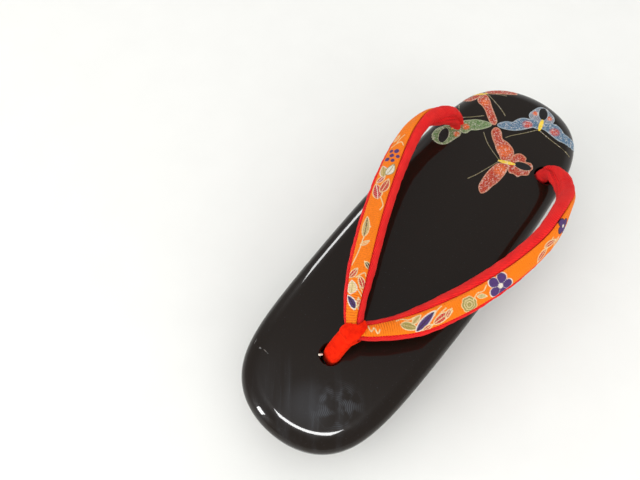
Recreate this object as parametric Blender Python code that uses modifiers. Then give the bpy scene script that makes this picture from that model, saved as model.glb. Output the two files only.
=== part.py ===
"""Left geta: a lacquered wooden base, a padded V-shaped strap and a velvet toe loop.

Metres, +Z up, toe towards -Y, outer side of the foot towards +X. The origin is on the floor
under the middle of the heel, midway between the two rear strap holes.
"""

import math
from collections import namedtuple

import bmesh
import bpy
from mathutils import Vector

# Base
LENGTH = 0.235
WIDTH = 0.082
HEIGHT_AT_TOE = 0.032
HEIGHT_AT_HEEL = 0.045
SIDE_FULLNESS = 0.32
END_FULLNESS = 0.48
LIP_WIDTH = 0.009
LIP_DROP = 0.0065
LIP_HEIGHT = 0.009
WALL_TAPER = math.radians(14)
LIP_STEPS = 5
PLAN_STEPS = 72

# Underside, from the toe's tip backwards
TOE_SPRING_LENGTH = 0.066
TOE_SPRING = 0.016
TOE_SPRING_CURVE = 1.5
FOREFOOT_REST = 0.036
ARCH_LENGTH = 0.056
ARCH_HEIGHT = 0.012
ARCH_ROUNDNESS = 2.4
UNDERSIDE_STEPS = 14

# Strap holes, each with a recess under the base for the cord's knot
TOE_HOLE_FROM_TIP = 0.043
REAR_HOLES_FROM_HEEL = 0.046
REAR_HOLE_SPACING = 0.055
HOLE_DIAMETER = 0.010
HOLE_CHAMFER = 0.001
REAR_HOLE_SLANT = math.radians(14)
RECESS_CLEARANCE = 0.002
TOE_RECESS_DEPTH = 0.015
HEEL_RECESS_DEPTH = 0.012
HOLE_SIDES = 24

# Strap band
STRAP_WIDTH = 0.0145
STRAP_THICKNESS = 0.0080
STRAP_SQUARENESS = 2.3
STRAP_RISE = 0.020
LATERAL_BULGE = 0.0275
MEDIAL_BULGE = 0.0180
APEX_BEHIND_TOE_HOLE = 0.0115
APEX_SIDE = 0.004
APEX_OVERLAP = 0.002
PLUG_DEPTH = 0.008
STEPS_PER_ROW = 3
BAND_SIDES = 20

# Patterned cover, let into the band's outer face
COVER_THICKNESS = 0.0010
COVER_FROM_OUTER_EDGE = 0.0015
COVER_FROM_INNER_EDGE = 0.0041
COVER_START = 0.0052
COVER_AHEAD_OF_HOLE = 0.0034
FACE_STEPS = 6
BACK_STEPS = 12

# Toe loop
LOOP_WALL = 0.0018
LOOP_WIDTH = 0.0105
LOOP_LENGTH = 0.0165
LOOP_AHEAD_OF_APEX = 0.0065
STEM_THICKNESS = 0.0084
STEM_END_AHEAD_OF_APEX = 0.003
STEM_SIDES = 20
WRAP_SIDES = 16
WRAP_SQUARENESS = 0.8

# Cords and their knots
CORD_DIAMETER = 0.0045
KNOT_DIAMETER = 0.0120
KNOT_HEIGHT = 0.0090
KNOT_ROUNDNESS = 0.7
KNOT_STEPS = 8

GAP = 0.0003

TOE_TIP_Y = REAR_HOLES_FROM_HEEL - LENGTH
MIDDLE_Y = TOE_TIP_Y + LENGTH / 2
TOE_HOLE_Y = TOE_TIP_Y + TOE_HOLE_FROM_TIP
APEX_Y = TOE_HOLE_Y + APEX_BEHIND_TOE_HOLE
RECESS_DIAMETER = KNOT_DIAMETER + 2 * RECESS_CLEARANCE

# Each row: along is the share of the way from the apex back to the rear hole, bulge and rise are
# shares of the arm's bulge and of STRAP_RISE, width and thickness are shares of the band's own,
# and roll is how far the band's face leans outwards, in degrees.
ARM_COLUMNS = ("along", "bulge", "rise", "width", "thickness", "roll")
LATERAL_ROWS = (
    (0.000, 0.00, 0.60, 0.52, 0.78, 0),
    (0.055, 0.25, 0.60, 0.68, 0.85, 5),
    (0.160, 0.56, 0.58, 0.93, 0.95, 15),
    (0.290, 0.77, 0.61, 1.00, 1.00, 28),
    (0.410, 0.91, 0.69, 1.00, 1.00, 36),
    (0.530, 0.99, 0.80, 1.00, 1.00, 44),
    (0.650, 1.00, 0.94, 1.00, 1.00, 54),
    (0.740, 0.91, 0.99, 0.97, 1.00, 64),
    (0.820, 0.79, 0.85, 0.90, 1.00, 74),
    (0.890, 0.67, 0.62, 0.80, 1.00, 84),
    (0.950, 0.46, 0.45, 0.72, 1.00, 92),
    (0.985, 0.20, 0.34, 0.64, 1.00, 98),
    (1.000, 0.02, 0.12, 0.58, 1.05, 100),
)
MEDIAL_ROWS = (
    (0.000, 0.00, 0.60, 0.52, 0.78, 0),
    (0.055, 0.22, 0.74, 0.68, 0.85, 0),
    (0.160, 0.45, 0.80, 0.93, 0.95, 3),
    (0.290, 0.67, 0.84, 1.00, 1.00, 6),
    (0.410, 0.83, 0.88, 1.00, 1.00, 10),
    (0.530, 0.94, 0.88, 1.00, 1.00, 16),
    (0.650, 0.99, 0.88, 1.00, 1.00, 26),
    (0.750, 0.95, 0.91, 0.98, 1.00, 38),
    (0.830, 0.79, 0.92, 0.92, 1.00, 54),
    (0.890, 0.56, 0.78, 0.82, 1.00, 70),
    (0.945, 0.30, 0.58, 0.74, 1.00, 84),
    (0.985, 0.08, 0.33, 0.64, 1.00, 90),
    (1.000, 0.00, 0.12, 0.58, 1.05, 90),
)

# Each row: along is the share of the loop's length from its front to the V's crotch, and width
# and height are shares of the loop's own.
WRAP_COLUMNS = ("along", "width", "height")
WRAP_ROWS = (
    (0.00, 0.45, 0.50),
    (0.06, 0.75, 0.78),
    (0.20, 0.95, 0.97),
    (0.45, 1.00, 1.00),
    (0.75, 1.00, 0.98),
    (0.93, 0.85, 0.80),
    (1.00, 0.50, 0.50),
)

# Each row: along is the share of the way from the toe hole's mouth to the loop's apex, and rise
# is the share of the climb between them.
STEM_COLUMNS = ("along", "rise")
STEM_ROWS = (
    (0.00, 0.00),
    (0.28, 0.36),
    (0.62, 0.70),
    (1.00, 1.00),
)

# How deep the strap's ends go, as shares of PLUG_DEPTH
PLUG_SHARES = (0.3, 1.0)

Hole = namedtuple("Hole", "mouth lean length")
Section = namedtuple("Section", "centre ahead inward face width thickness along")


def top_height(y):
    """Height of the base's flat sloping top."""
    share = (y - TOE_TIP_Y) / LENGTH
    return HEIGHT_AT_TOE + (HEIGHT_AT_HEEL - HEIGHT_AT_TOE) * share


def plan_point(turn, inset):
    """A point of the base's plan outline, moved inwards by inset."""

    def on_outline(angle):
        along = -math.cos(angle)
        fullness = 1 + SIDE_FULLNESS * along**2 + END_FULLNESS * along**4
        return Vector((WIDTH / 2 * math.sin(angle) * fullness, MIDDLE_Y + LENGTH / 2 * along))

    small = 1e-3
    tangent = (on_outline(turn + small) - on_outline(turn - small)).normalized()
    outward = Vector((tangent.y, -tangent.x))
    return on_outline(turn) - outward * inset


def material(name, colour, roughness, coat=0.0):
    made = bpy.data.materials.new(name)
    made.use_nodes = True
    shader = made.node_tree.nodes["Principled BSDF"]
    shader.inputs["Base Color"].default_value = (*colour, 1)
    shader.inputs["Roughness"].default_value = roughness
    shader.inputs["Coat Weight"].default_value = coat
    return made


def collection(name):
    made = bpy.data.collections.new(name)
    bpy.context.scene.collection.children.link(made)
    return made


def add_object(name, mesh, into, finish=None):
    obj = bpy.data.objects.new(name, mesh)
    into.objects.link(obj)
    if finish:
        mesh.materials.append(finish)
    else:
        obj.hide_render = True
        obj.display_type = "WIRE"
    return obj


def smooth(obj, degrees=40):
    obj.data.shade_smooth()
    obj.data.set_sharp_from_angle(angle=math.radians(degrees))


def loft(name, rings, into, finish=None):
    """One closed solid through rings of equally many points, with a flat cap at each end."""
    mesh = bpy.data.meshes.new(name)
    bm = bmesh.new()
    rows = [[bm.verts.new(point) for point in ring] for ring in rings]
    count = len(rows[0])
    for low, high in zip(rows, rows[1:]):
        for i in range(count):
            j = (i + 1) % count
            bm.faces.new((low[i], low[j], high[j], high[i]))
    bm.faces.new(rows[0])
    bm.faces.new(rows[-1])
    bmesh.ops.recalc_face_normals(bm, faces=bm.faces)
    bm.to_mesh(mesh)
    bm.free()
    return add_object(name, mesh, into, finish)


def turned(name, profile, place, lean, into, finish=None):
    """A solid of revolution, leaning sideways. Its rows are (radius, height), from the top down."""
    mesh = bpy.data.meshes.new(name)
    points = [(radius, 0, height) for radius, height in profile]
    mesh.from_pydata(points, [(i, i + 1) for i in range(len(points) - 1)], [])
    obj = add_object(name, mesh, into, finish)
    obj.location = place
    obj.rotation_euler.y = lean
    screw = obj.modifiers.new("Turn", "SCREW")
    screw.steps = HOLE_SIDES
    screw.render_steps = HOLE_SIDES
    screw.use_merge_vertices = True
    screw.merge_threshold = 1e-5
    return obj


def combine(obj, operation, other):
    boolean = obj.modifiers.new(operation.title(), "BOOLEAN")
    boolean.operation = operation
    boolean.object = other


def applied(obj):
    """Puts the result of the object's modifiers into its mesh."""
    graph = bpy.context.evaluated_depsgraph_get()
    mesh = bpy.data.meshes.new_from_object(obj.evaluated_get(graph))
    obj.modifiers.clear()
    obj.data = mesh


def through_rows(rows, steps):
    """Samples a smooth curve through rows of numbers, steps samples from each row to the next."""
    padded = [rows[0]] + list(rows) + [rows[-1]]
    samples = []
    for i in range(1, len(padded) - 2):
        before, start, end, after = padded[i - 1 : i + 3]
        for step in range(steps):
            t = step / steps
            samples.append(
                [
                    0.5 * (2 * b + (c - a) * t + (2 * a - 5 * b + 4 * c - d) * t**2
                           + (3 * b - a - 3 * c + d) * t**3)
                    for a, b, c, d in zip(before, start, end, after)
                ]
            )
    samples.append(list(rows[-1]))
    return samples


def base_solid(into, finish):
    """The block before its underside and holes are cut: a rounded lip, then a tapering wall."""
    rings = []
    for step in range(LIP_STEPS + 1):
        angle = math.radians(90) * step / LIP_STEPS
        inset = LIP_WIDTH * (1 - math.sin(angle))
        drop = LIP_DROP * (1 - math.cos(angle))
        rings.append(base_ring(lambda y: inset, lambda y: top_height(y) - drop))
    rings.append(base_ring(lambda y: 0, lambda y: top_height(y) - LIP_HEIGHT))
    slope = math.tan(WALL_TAPER)
    rings.append(base_ring(lambda y: (top_height(y) - LIP_HEIGHT) * slope, lambda y: 0))
    return loft("base", rings, into, finish)


def base_ring(inset_at, height_at):
    """The plan outline, moved inwards and raised by functions of the place along the base."""
    ring = []
    for i in range(PLAN_STEPS):
        turn = 2 * math.pi * i / PLAN_STEPS
        x, y = plan_point(turn, inset_at(plan_point(turn, 0).y))
        ring.append((x, y, height_at(y)))
    return ring


def profile_cutter(name, profile, into):
    """A side profile of (y, z) points, extruded across the whole base."""
    rings = [[(side * WIDTH, y, z) for y, z in profile] for side in (-1, 1)]
    return loft(name, rings, into)


def cut_underside(base, cutters):
    spring_end = TOE_TIP_Y + TOE_SPRING_LENGTH
    shares = [step / UNDERSIDE_STEPS for step in range(UNDERSIDE_STEPS + 1)]
    spring = []
    for t in shares:
        spring.append((spring_end - TOE_SPRING_LENGTH * t, TOE_SPRING * t**TOE_SPRING_CURVE))
    front = TOE_TIP_Y - LIP_WIDTH
    spring += [(front, TOE_SPRING), (front, -LIP_HEIGHT), (spring_end, -LIP_HEIGHT)]
    combine(base, "DIFFERENCE", profile_cutter("toe_spring_cutter", spring, cutters))

    arch_middle = spring_end + FOREFOOT_REST + ARCH_LENGTH / 2
    arch = []
    for t in shares:
        across = -math.cos(math.pi * t)
        height = 1 - abs(across) ** ARCH_ROUNDNESS
        arch.append((arch_middle + ARCH_LENGTH / 2 * across, ARCH_HEIGHT * height))
    arch.append((arch[-1][0], -LIP_HEIGHT))
    arch.append((arch[0][0], -LIP_HEIGHT))
    combine(base, "DIFFERENCE", profile_cutter("arch_cutter", arch, cutters))


def strap_holes():
    """Each hole's name, its mouth in the top, its lean, and the length down to its recess."""
    toe_mouth = Vector((0, TOE_HOLE_Y, top_height(TOE_HOLE_Y)))
    holes = {"toe": Hole(toe_mouth, 0, toe_mouth.z - TOE_RECESS_DEPTH)}
    rear_length = (top_height(0) - HEEL_RECESS_DEPTH) / math.cos(REAR_HOLE_SLANT)
    for name, side in (("lateral", 1), ("medial", -1)):
        mouth = Vector((side * REAR_HOLE_SPACING / 2, 0, top_height(0)))
        holes[name] = Hole(mouth, side * REAR_HOLE_SLANT, rear_length)
    return holes


def down_hole(hole, depth):
    """The point on a hole's axis at this depth below its mouth."""
    return hole.mouth - Vector((math.sin(hole.lean), 0, math.cos(hole.lean))) * depth


def cut_holes(base, cutters):
    radius = HOLE_DIAMETER / 2
    recess = RECESS_DIAMETER / 2
    flare = LIP_DROP
    for name, hole in strap_holes().items():
        profile = (
            (0, flare),
            (radius + HOLE_CHAMFER + flare, flare),
            (radius, -HOLE_CHAMFER),
            (radius, -hole.length),
            (recess, -hole.length),
            (recess, -hole.mouth.z - RECESS_DIAMETER),
            (0, -hole.mouth.z - RECESS_DIAMETER),
        )
        cutter = turned(name + "_hole_cutter", profile, hole.mouth, hole.lean, cutters)
        combine(base, "DIFFERENCE", cutter)


def arm_sections(hole, bulge, rows):
    """Sections of one arm from the apex to the rear hole: centre, size, and the face's axes."""
    hole_x = hole.mouth.x
    side = math.copysign(1, hole_x)
    diagonal = 2 ** (1 / 2 - 1 / STRAP_SQUARENESS)
    plug = (HOLE_DIAMETER - 2 * GAP) / diagonal
    through = []
    for row in rows:
        at = dict(zip(ARM_COLUMNS, row))
        x = APEX_SIDE + (hole_x - APEX_SIDE) * at["along"] + side * bulge * at["bulge"]
        y = APEX_Y * (1 - at["along"])
        z = top_height(y) + STRAP_RISE * at["rise"]
        width = STRAP_WIDTH * at["width"]
        through.append((x, y, z, width, STRAP_THICKNESS * at["thickness"], at["roll"], at["along"]))
    last_roll = rows[-1][ARM_COLUMNS.index("roll")]
    for share in PLUG_SHARES:
        through.append((*down_hole(hole, PLUG_DEPTH * share), plug, plug, last_roll, 1.0))
    sections = []
    samples = through_rows(through, STEPS_PER_ROW)
    for i, (x, y, z, width, thickness, roll, along) in enumerate(samples):
        before = Vector(samples[max(i - 1, 0)][:3])
        after = Vector(samples[min(i + 1, len(samples) - 1)][:3])
        ahead = (after - before).normalized()
        outward = Vector((side, 0, 0))
        outward = (outward - ahead * outward.dot(ahead)).normalized()
        upward = side * outward.cross(ahead)
        lean = math.radians(roll)
        face = upward * math.cos(lean) + outward * math.sin(lean)
        inward = upward * math.sin(lean) - outward * math.cos(lean)
        centre = Vector((x, y, z))
        sections.append(Section(centre, ahead, inward, face, width, thickness, along))
    return [shifted(sections[0], -APEX_OVERLAP)] + sections[1:]


def shifted(section, distance):
    """The same section, moved along its arm."""
    return section._replace(centre=section.centre + section.ahead * distance)


def on_section(section, angle, grow=0.0):
    """A point of the band's rounded outline, angle 0 at its inner edge and 90 on its face."""
    power = 2 / STRAP_SQUARENESS
    cosine = math.cos(angle)
    sine = math.sin(angle)
    across = math.copysign(abs(cosine) ** power, cosine) * (section.width / 2 + grow)
    out = math.copysign(abs(sine) ** power, sine) * (section.thickness / 2 + grow)
    return section.centre + section.inward * across + section.face * out


def face_angles():
    """Where on the section the cover's inner and outer edges lie, at every width of the band."""
    power = STRAP_SQUARENESS / 2
    inner = math.acos((1 - 2 * COVER_FROM_INNER_EDGE / STRAP_WIDTH) ** power)
    outer = math.pi - math.acos((1 - 2 * COVER_FROM_OUTER_EDGE / STRAP_WIDTH) ** power)
    return inner, outer


def between(start, end, steps):
    return [start + (end - start) * i / steps for i in range(steps + 1)]


def lining_ring(section, groove):
    """The band's outline, with its face let in by groove where the cover lies."""
    inner, outer = face_angles()
    back = [on_section(section, angle) for angle in between(outer, inner + 2 * math.pi, BACK_STEPS)]
    floor = [on_section(section, angle, -groove) for angle in between(inner, outer, FACE_STEPS)]
    return back + floor


def cover_ring(section):
    inner, outer = face_angles()
    margin = 2 * GAP / section.width
    angles = between(inner + margin, outer - margin, FACE_STEPS)
    outside = [on_section(section, angle) for angle in angles]
    inside = [on_section(section, angle, -COVER_THICKNESS) for angle in reversed(angles)]
    return outside + inside


def plain_ring(section, grow=0.0):
    return [on_section(section, 2 * math.pi * i / BAND_SIDES, grow) for i in range(BAND_SIDES)]


def covered(sections):
    """The sections that the cover spans, from the wrap's edge to the band's rear end."""
    apex = sections[0].centre
    clear = [s for s in sections if (s.centre - apex).length > COVER_START]
    return [s for s in clear if APEX_Y * (1 - s.along) < -COVER_AHEAD_OF_HOLE]


def strap(into, cutters, lining_finish, cover_finish):
    """The band's two arms, joined at the apex, and the cover on each. Returns the arms' sections."""
    arms = {
        "lateral": arm_sections(strap_holes()["lateral"], LATERAL_BULGE, LATERAL_ROWS),
        "medial": arm_sections(strap_holes()["medial"], MEDIAL_BULGE, MEDIAL_ROWS),
    }
    halves = {}
    for name, sections in arms.items():
        span = covered(sections)
        groove = COVER_THICKNESS + GAP
        rings = []
        for section in sections:
            if section is span[0]:
                rings.append(lining_ring(shifted(section, -2 * GAP), 0))
                rings.append(lining_ring(shifted(section, -GAP), groove))
            elif section is span[-1]:
                rings.append(lining_ring(shifted(section, GAP), groove))
                rings.append(lining_ring(shifted(section, 2 * GAP), 0))
            else:
                rings.append(lining_ring(section, groove if section in span else 0))
        halves[name] = loft(name + "_band", rings, cutters)
        cover = loft("strap_cover_" + name, [cover_ring(s) for s in span], into, cover_finish)
        smooth(cover)
    lining = add_object("strap_lining", halves["lateral"].data.copy(), into, lining_finish)
    combine(lining, "UNION", halves["medial"])
    applied(lining)
    lining.data.materials.clear()
    lining.data.materials.append(lining_finish)
    smooth(lining)
    return arms


def squashed_ring(centre, across, up, width, height, count, power):
    """A rounded ring. Its power is 1 for an ellipse and less for squarer corners."""
    ring = []
    for i in range(count):
        angle = 2 * math.pi * i / count
        cosine = math.cos(angle)
        sine = math.sin(angle)
        x = math.copysign(abs(cosine) ** power, cosine) * width / 2
        z = math.copysign(abs(sine) ** power, sine) * height / 2
        ring.append(centre + across * x + up * z)
    return ring


def toe_loop(arms, into, cutters, finish):
    """A stem that rises from the toe hole, and a wrap round the strap's apex."""
    apex_row = dict(zip(ARM_COLUMNS, LATERAL_ROWS[0]))
    apex = Vector((APEX_SIDE, APEX_Y, top_height(APEX_Y) + STRAP_RISE * apex_row["rise"]))
    mouth = strap_holes()["toe"].mouth
    back = Vector((apex.x - mouth.x, apex.y - mouth.y, 0)).normalized()
    across = Vector((back.y, -back.x, 0))
    up = Vector((0, 0, 1))

    height = STRAP_THICKNESS * apex_row["thickness"] + 2 * (LOOP_WALL + GAP)
    front = apex - back * LOOP_AHEAD_OF_APEX
    rings = []
    for row in WRAP_ROWS:
        at = dict(zip(WRAP_COLUMNS, row))
        centre = front + back * LOOP_LENGTH * at["along"]
        size = (LOOP_WIDTH * at["width"], height * at["height"])
        rings.append(squashed_ring(centre, across, up, *size, WRAP_SIDES, WRAP_SQUARENESS))
    wrap = loft("toe_loop", rings, into, finish)

    low = mouth - up * HOLE_CHAMFER
    route = [tuple(mouth - up * PLUG_DEPTH)]
    for row in STEM_ROWS:
        at = dict(zip(STEM_COLUMNS, row))
        point = low.lerp(apex - back * STEM_END_AHEAD_OF_APEX, at["along"])
        point.z = low.z + (apex.z - low.z) * at["rise"]
        route.append(tuple(point))
    samples = [Vector(point) for point in through_rows(route, STEPS_PER_ROW)]
    width = HOLE_DIAMETER - 2 * GAP
    stem_rings = []
    for i, centre in enumerate(samples):
        before = samples[max(i - 1, 0)]
        after = samples[min(i + 1, len(samples) - 1)]
        ahead = (after - before).normalized()
        lift = across.cross(ahead)
        size = (width, STEM_THICKNESS)
        stem_rings.append(squashed_ring(centre, across, lift, *size, STEM_SIDES, 1.0))
    stem = loft("stem", stem_rings, cutters)
    combine(wrap, "UNION", stem)
    for name, sections in arms.items():
        first = shifted(sections[0], -GAP)
        near = [s for s in sections[1:] if (s.centre - first.centre).length < 2 * LOOP_LENGTH]
        clearance = [plain_ring(section, GAP) for section in [first] + near]
        combine(wrap, "DIFFERENCE", loft(name + "_clearance", clearance, cutters))
    applied(wrap)
    smooth(wrap)


def knot(name, hole, into, finish):
    """A cord that hangs from the strap's end through the hole, and the knot that holds it."""
    cord = CORD_DIAMETER / 2
    stop = -PLUG_DEPTH - GAP
    knot_top = -hole.length - GAP
    middle = knot_top - KNOT_HEIGHT / 2
    profile = [(0, stop), (cord, stop), (cord, knot_top)]
    for step in range(1, KNOT_STEPS):
        angle = math.pi * step / KNOT_STEPS
        radius = KNOT_DIAMETER / 2 * math.sin(angle) ** KNOT_ROUNDNESS
        profile.append((radius, middle + KNOT_HEIGHT / 2 * math.cos(angle)))
    profile.append((0, middle - KNOT_HEIGHT / 2))
    obj = turned(name, profile, hole.mouth, hole.lean, into, finish)
    applied(obj)
    smooth(obj)


def main():
    for obj in list(bpy.data.objects):
        bpy.data.objects.remove(obj)
    parts = collection("geta")
    cutters = collection("cutters")
    lacquer = material("black_lacquer", (0.012, 0.010, 0.010), 0.12, 1.0)
    red = material("red_lining", (0.75, 0.015, 0.02), 0.75)
    orange = material("orange_crepe", (0.85, 0.24, 0.02), 0.7)
    scarlet = material("scarlet_velvet", (0.80, 0.03, 0.01), 0.9)
    hemp = material("hemp_cord", (0.62, 0.55, 0.42), 0.9)

    base = base_solid(parts, lacquer)
    cut_underside(base, cutters)
    cut_holes(base, cutters)
    smooth(base, 30)
    arms = strap(parts, cutters, red, orange)
    toe_loop(arms, parts, cutters, scarlet)
    for name, hole in strap_holes().items():
        knot(name + "_knot", hole, parts, hemp)


main()
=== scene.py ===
"""Looks of the left geta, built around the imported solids.

Metres, +Z up, toe towards -Y, outer side of the foot towards +X. The origin is on the floor
under the middle of the heel, midway between the two rear strap holes. Painted and printed
motifs are charted in millimetres.
"""

import math
from collections import namedtuple

import bmesh
import bpy
import numpy as np
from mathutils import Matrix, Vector, geometry, noise


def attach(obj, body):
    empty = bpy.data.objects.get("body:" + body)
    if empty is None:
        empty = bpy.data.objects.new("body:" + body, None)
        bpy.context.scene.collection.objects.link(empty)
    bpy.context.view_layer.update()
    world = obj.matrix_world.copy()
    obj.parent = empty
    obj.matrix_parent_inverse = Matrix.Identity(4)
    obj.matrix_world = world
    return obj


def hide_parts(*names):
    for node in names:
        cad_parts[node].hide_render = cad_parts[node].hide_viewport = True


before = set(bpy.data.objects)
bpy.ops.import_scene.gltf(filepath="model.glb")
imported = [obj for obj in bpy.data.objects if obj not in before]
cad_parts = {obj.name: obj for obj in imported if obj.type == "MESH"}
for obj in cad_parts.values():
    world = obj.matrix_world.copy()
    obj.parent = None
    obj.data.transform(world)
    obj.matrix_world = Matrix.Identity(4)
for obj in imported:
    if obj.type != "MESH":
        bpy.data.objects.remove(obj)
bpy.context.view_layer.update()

MM = 0.001

# Base
LENGTH = 0.235
WIDTH = 0.082
HEIGHT_AT_TOE = 0.032
HEIGHT_AT_HEEL = 0.045
SIDE_FULLNESS = 0.32
END_FULLNESS = 0.48
LIP_WIDTH = 0.009
LIP_DROP = 0.0065
LIP_HEIGHT = 0.009
WALL_TAPER = math.radians(14)
TAPER_BLEND = 0.0015
EDGE_ROUNDING = 0.0008
PLAN_STEPS = 240
LIP_STEPS = 16
WALL_STEPS = 8
EDGE_STEPS = 4

# Underside, from the toe's tip backwards
TOE_SPRING_LENGTH = 0.066
TOE_SPRING = 0.016
TOE_SPRING_CURVE = 1.5
FOREFOOT_REST = 0.036
ARCH_LENGTH = 0.056
ARCH_HEIGHT = 0.012
ARCH_ROUNDNESS = 2.4

# Strap holes
TOE_HOLE_FROM_TIP = 0.043
REAR_HOLES_FROM_HEEL = 0.046
REAR_HOLE_SPACING = 0.055
HOLE_DIAMETER = 0.010
HOLE_CHAMFER = 0.001
REAR_HOLE_SLANT = math.radians(14)
TOE_RECESS_DEPTH = 0.015
HEEL_RECESS_DEPTH = 0.012
RECESS_DIAMETER = 0.016
HOLE_SIDES = 48

# Strap band
STRAP_WIDTH = 0.0145
STRAP_THICKNESS = 0.0080
STRAP_SQUARENESS = 2.3
STRAP_RISE = 0.020
LATERAL_BULGE = 0.0275
MEDIAL_BULGE = 0.0180
APEX_BEHIND_TOE_HOLE = 0.0115
APEX_SIDE = 0.004
PLUG_DEPTH = 0.008
LINING_STEP = 0.0005
BAND_SIDES = 80
WRINKLE_DEPTH = 0.00022
WRINKLE_SIZE = 0.0042
FINE_WRINKLE_SIZE = 0.0016
FINE_WRINKLE_SHARE = 0.35
INNER_SIDE_SLIMMING = 0.0007
INNER_SLIMMING_STARTS = 0.006
INNER_SLIMMING_FULL = 0.018
REAR_END_SLIMMING = 0.0008
FOLD_TURN = math.radians(278)
FOLD_DEPTH = 0.0003
FOLD_DEEPENING = 0.0019
WEAVE_SEAM = math.radians(262)
GIRTH_IN_WIDTHS = 2.6

# Shares of an arm's run where its padding starts to tighten, where it is fully tight, and where
# its end starts to get slimmer
TIGHTENS = 0.70
TIGHT = 0.93
END_SLIMS = 0.86

# Cover on the band's outer face
COVER_THICKNESS = 0.0010
COVER_FROM_OUTER_EDGE = 0.0015
COVER_FROM_INNER_EDGE = 0.0033
COVER_START = 0.0030
COVER_AHEAD_OF_HOLE = 0.0034
COVER_STEP = 0.00024
COVER_COLUMNS = 40
COVER_BACK_COLUMNS = 8
COVER_CROWN = 0.0003
COVER_TUCK = 0.0005
COVER_UNEVENNESS = 0.00012
COVER_FADE = 0.0012
COVER_EDGE_SOFTNESS = 0.10
SEAM_DEPTH = 0.00022
SEAM_WIDTH = 0.10
SEAM_OUTSIDE_EDGE = 0.13
GATHER_PITCH = 0.00105
GATHER_DEPTH = 0.00020
GATHERS_END = 0.026
GATHERS_EASE = 0.55
GATHERS_LEAST = 0.28

# Toe loop
LOOP_WALL = 0.0018
LOOP_WIDTH = 0.0095
LOOP_LENGTH = 0.0126
LOOP_AHEAD_OF_APEX = 0.0060
STEM_WIDTH = 0.0087
STEM_THICKNESS = 0.0058
STEM_END_AHEAD_OF_APEX = 0.003
STEM_SET_BACK = 0.0010
STEM_SQUARENESS = 0.75
WRAP_SQUARENESS = 0.62
LOOP_SIDES = 48
LOOP_VOXEL = 0.00032
CLEARANCE_SIDES = 40
CLEARANCE_AHEAD = 0.002

# Thread end, from the toe hole's mouth. Each row is a share of its way and its radius there.
THREAD_START = Vector((-0.0030, -0.0022, -0.0004))
THREAD_TIP = Vector((-0.0041, -0.0038, 0.0008))
THREAD_ROWS = ((0, 0.00040), (0.5, 0.00055), (0.85, 0.00050), (1, 0.00022))
THREAD_SIDES = 12

# Cords and knots
CORD_DIAMETER = 0.0045
KNOT_DIAMETER = 0.0120
KNOT_HEIGHT = 0.0090
KNOT_CORD = 0.0034
KNOT_STEPS = 180
CORD_STEPS = 40
CORD_STRANDS = 3
CORD_LAY = 0.007
STRAND_SWELL = 0.07
ROPE_SIDES = 24

# Painted motifs
PAINT_STEP = 0.00042
PAINT_LIFT = 0.00005
PAINT_ROOT = -0.00003
PAINT_ROW_SHARE = 0.866
PAINT_MARGIN = 0.6

# How high each layer of paint stands, in steps of PAINT_LIFT
WING_LIFT = 1
NEXT_WING_LIFT = 0.3
ANTENNA_LIFT = 1.5
OVAL_EDGE_LIFT = 1.9
OVAL_LIFT = 2.2
BODY_LIFT = 3.5
HAIRLINE_LIFT = 0.4

# Glitter in the wings: the share of points that has none, and how pale the others are
GLITTER_FREE = 0.84
GLITTER_PALENESS = 0.75

# The rim of a wing, in millimetres from its outline
WING_RIM_FULL = 0.35
WING_RIM_ENDS = 0.85

# Widths of painted lines, in millimetres
OVAL_EDGE = 0.45
ANTENNA_WIDTH = 0.42
HAIRLINE_WIDTH = 0.14

GAP = 0.0003

TOE_TIP_Y = REAR_HOLES_FROM_HEEL - LENGTH
MIDDLE_Y = TOE_TIP_Y + LENGTH / 2
TOE_HOLE_Y = TOE_TIP_Y + TOE_HOLE_FROM_TIP
APEX_Y = TOE_HOLE_Y + APEX_BEHIND_TOE_HOLE

# Traces in the lacquer near the toe: a hazy veil and wiping streaks round one place, painted
# lighter as partly real wear and partly painted reflected light, and fine rings where it was
# rubbed round another
HAZE_AND_GLOW_PLACE = (0.006, -0.170)
RUB_PLACE = (0.017, -0.163)
RUB_PITCH = 0.0008
WIPING_TURN = math.radians(39)
WIPING_STRETCH = 22
BLACK_LACQUER = (0.0085, 0.0050, 0.0030, 1)
# Lighter bluish tone for the hazy veil, streaks, rings and dust, and for painted reflected light by the toe
HAZE_AND_GLOW_LACQUER = (0.056, 0.060, 0.068, 1)

# Studio. A fill light is hidden from glossy rays, and a highlight from diffuse ones, so that the
# floor's light and the lacquer's reflections are each set by themselves. One with no turn looks
# at the sandal, and the others look straight down, turned about the vertical in degrees.
Light = namedtuple("Light", "name place width depth power turn role")
LIGHTS = (
    Light("sky", (-0.3, -0.1, 1.6), 5, 5, 31, 0, "fill"),
    Light("fill", (-0.5, -1.3, 0.5), 1.6, 0.8, 13, None, "fill"),
    Light("right_fill", (1.3, -0.5, 0.5), 1.2, 0.8, 10, None, "fill"),
    Light("lamp", (-0.02, -0.375, 1.2), 0.49, 0.20, 16, 10.6, "highlight"),
    Light("glint", (-0.49, -1.14, 0.54), 0.14, 0.36, 9, None, "highlight"),
    Light("window", (-0.83, 0.30, 0.77), 0.35, 0.22, 8, None, "highlight"),
    Light("side", (0.85, 0.35, 0.30), 0.06, 0.20, 1.2, None, "highlight"),
)
LIT_PLACE = (0, -0.07, 0)
FLOOR_SIZE = 6
FLOOR_COLOUR = (0.83, 0.83, 0.80)
THREAD_COLOUR = (0.75, 0.66, 0.55)

# Camera, as in the photo
CAMERA_PLACE = Vector((0.0522, -0.2177, 0.2972))
CAMERA_TARGET = Vector((-0.0545, -0.0869, 0.0))
CAMERA_LENS = 33.24

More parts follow.
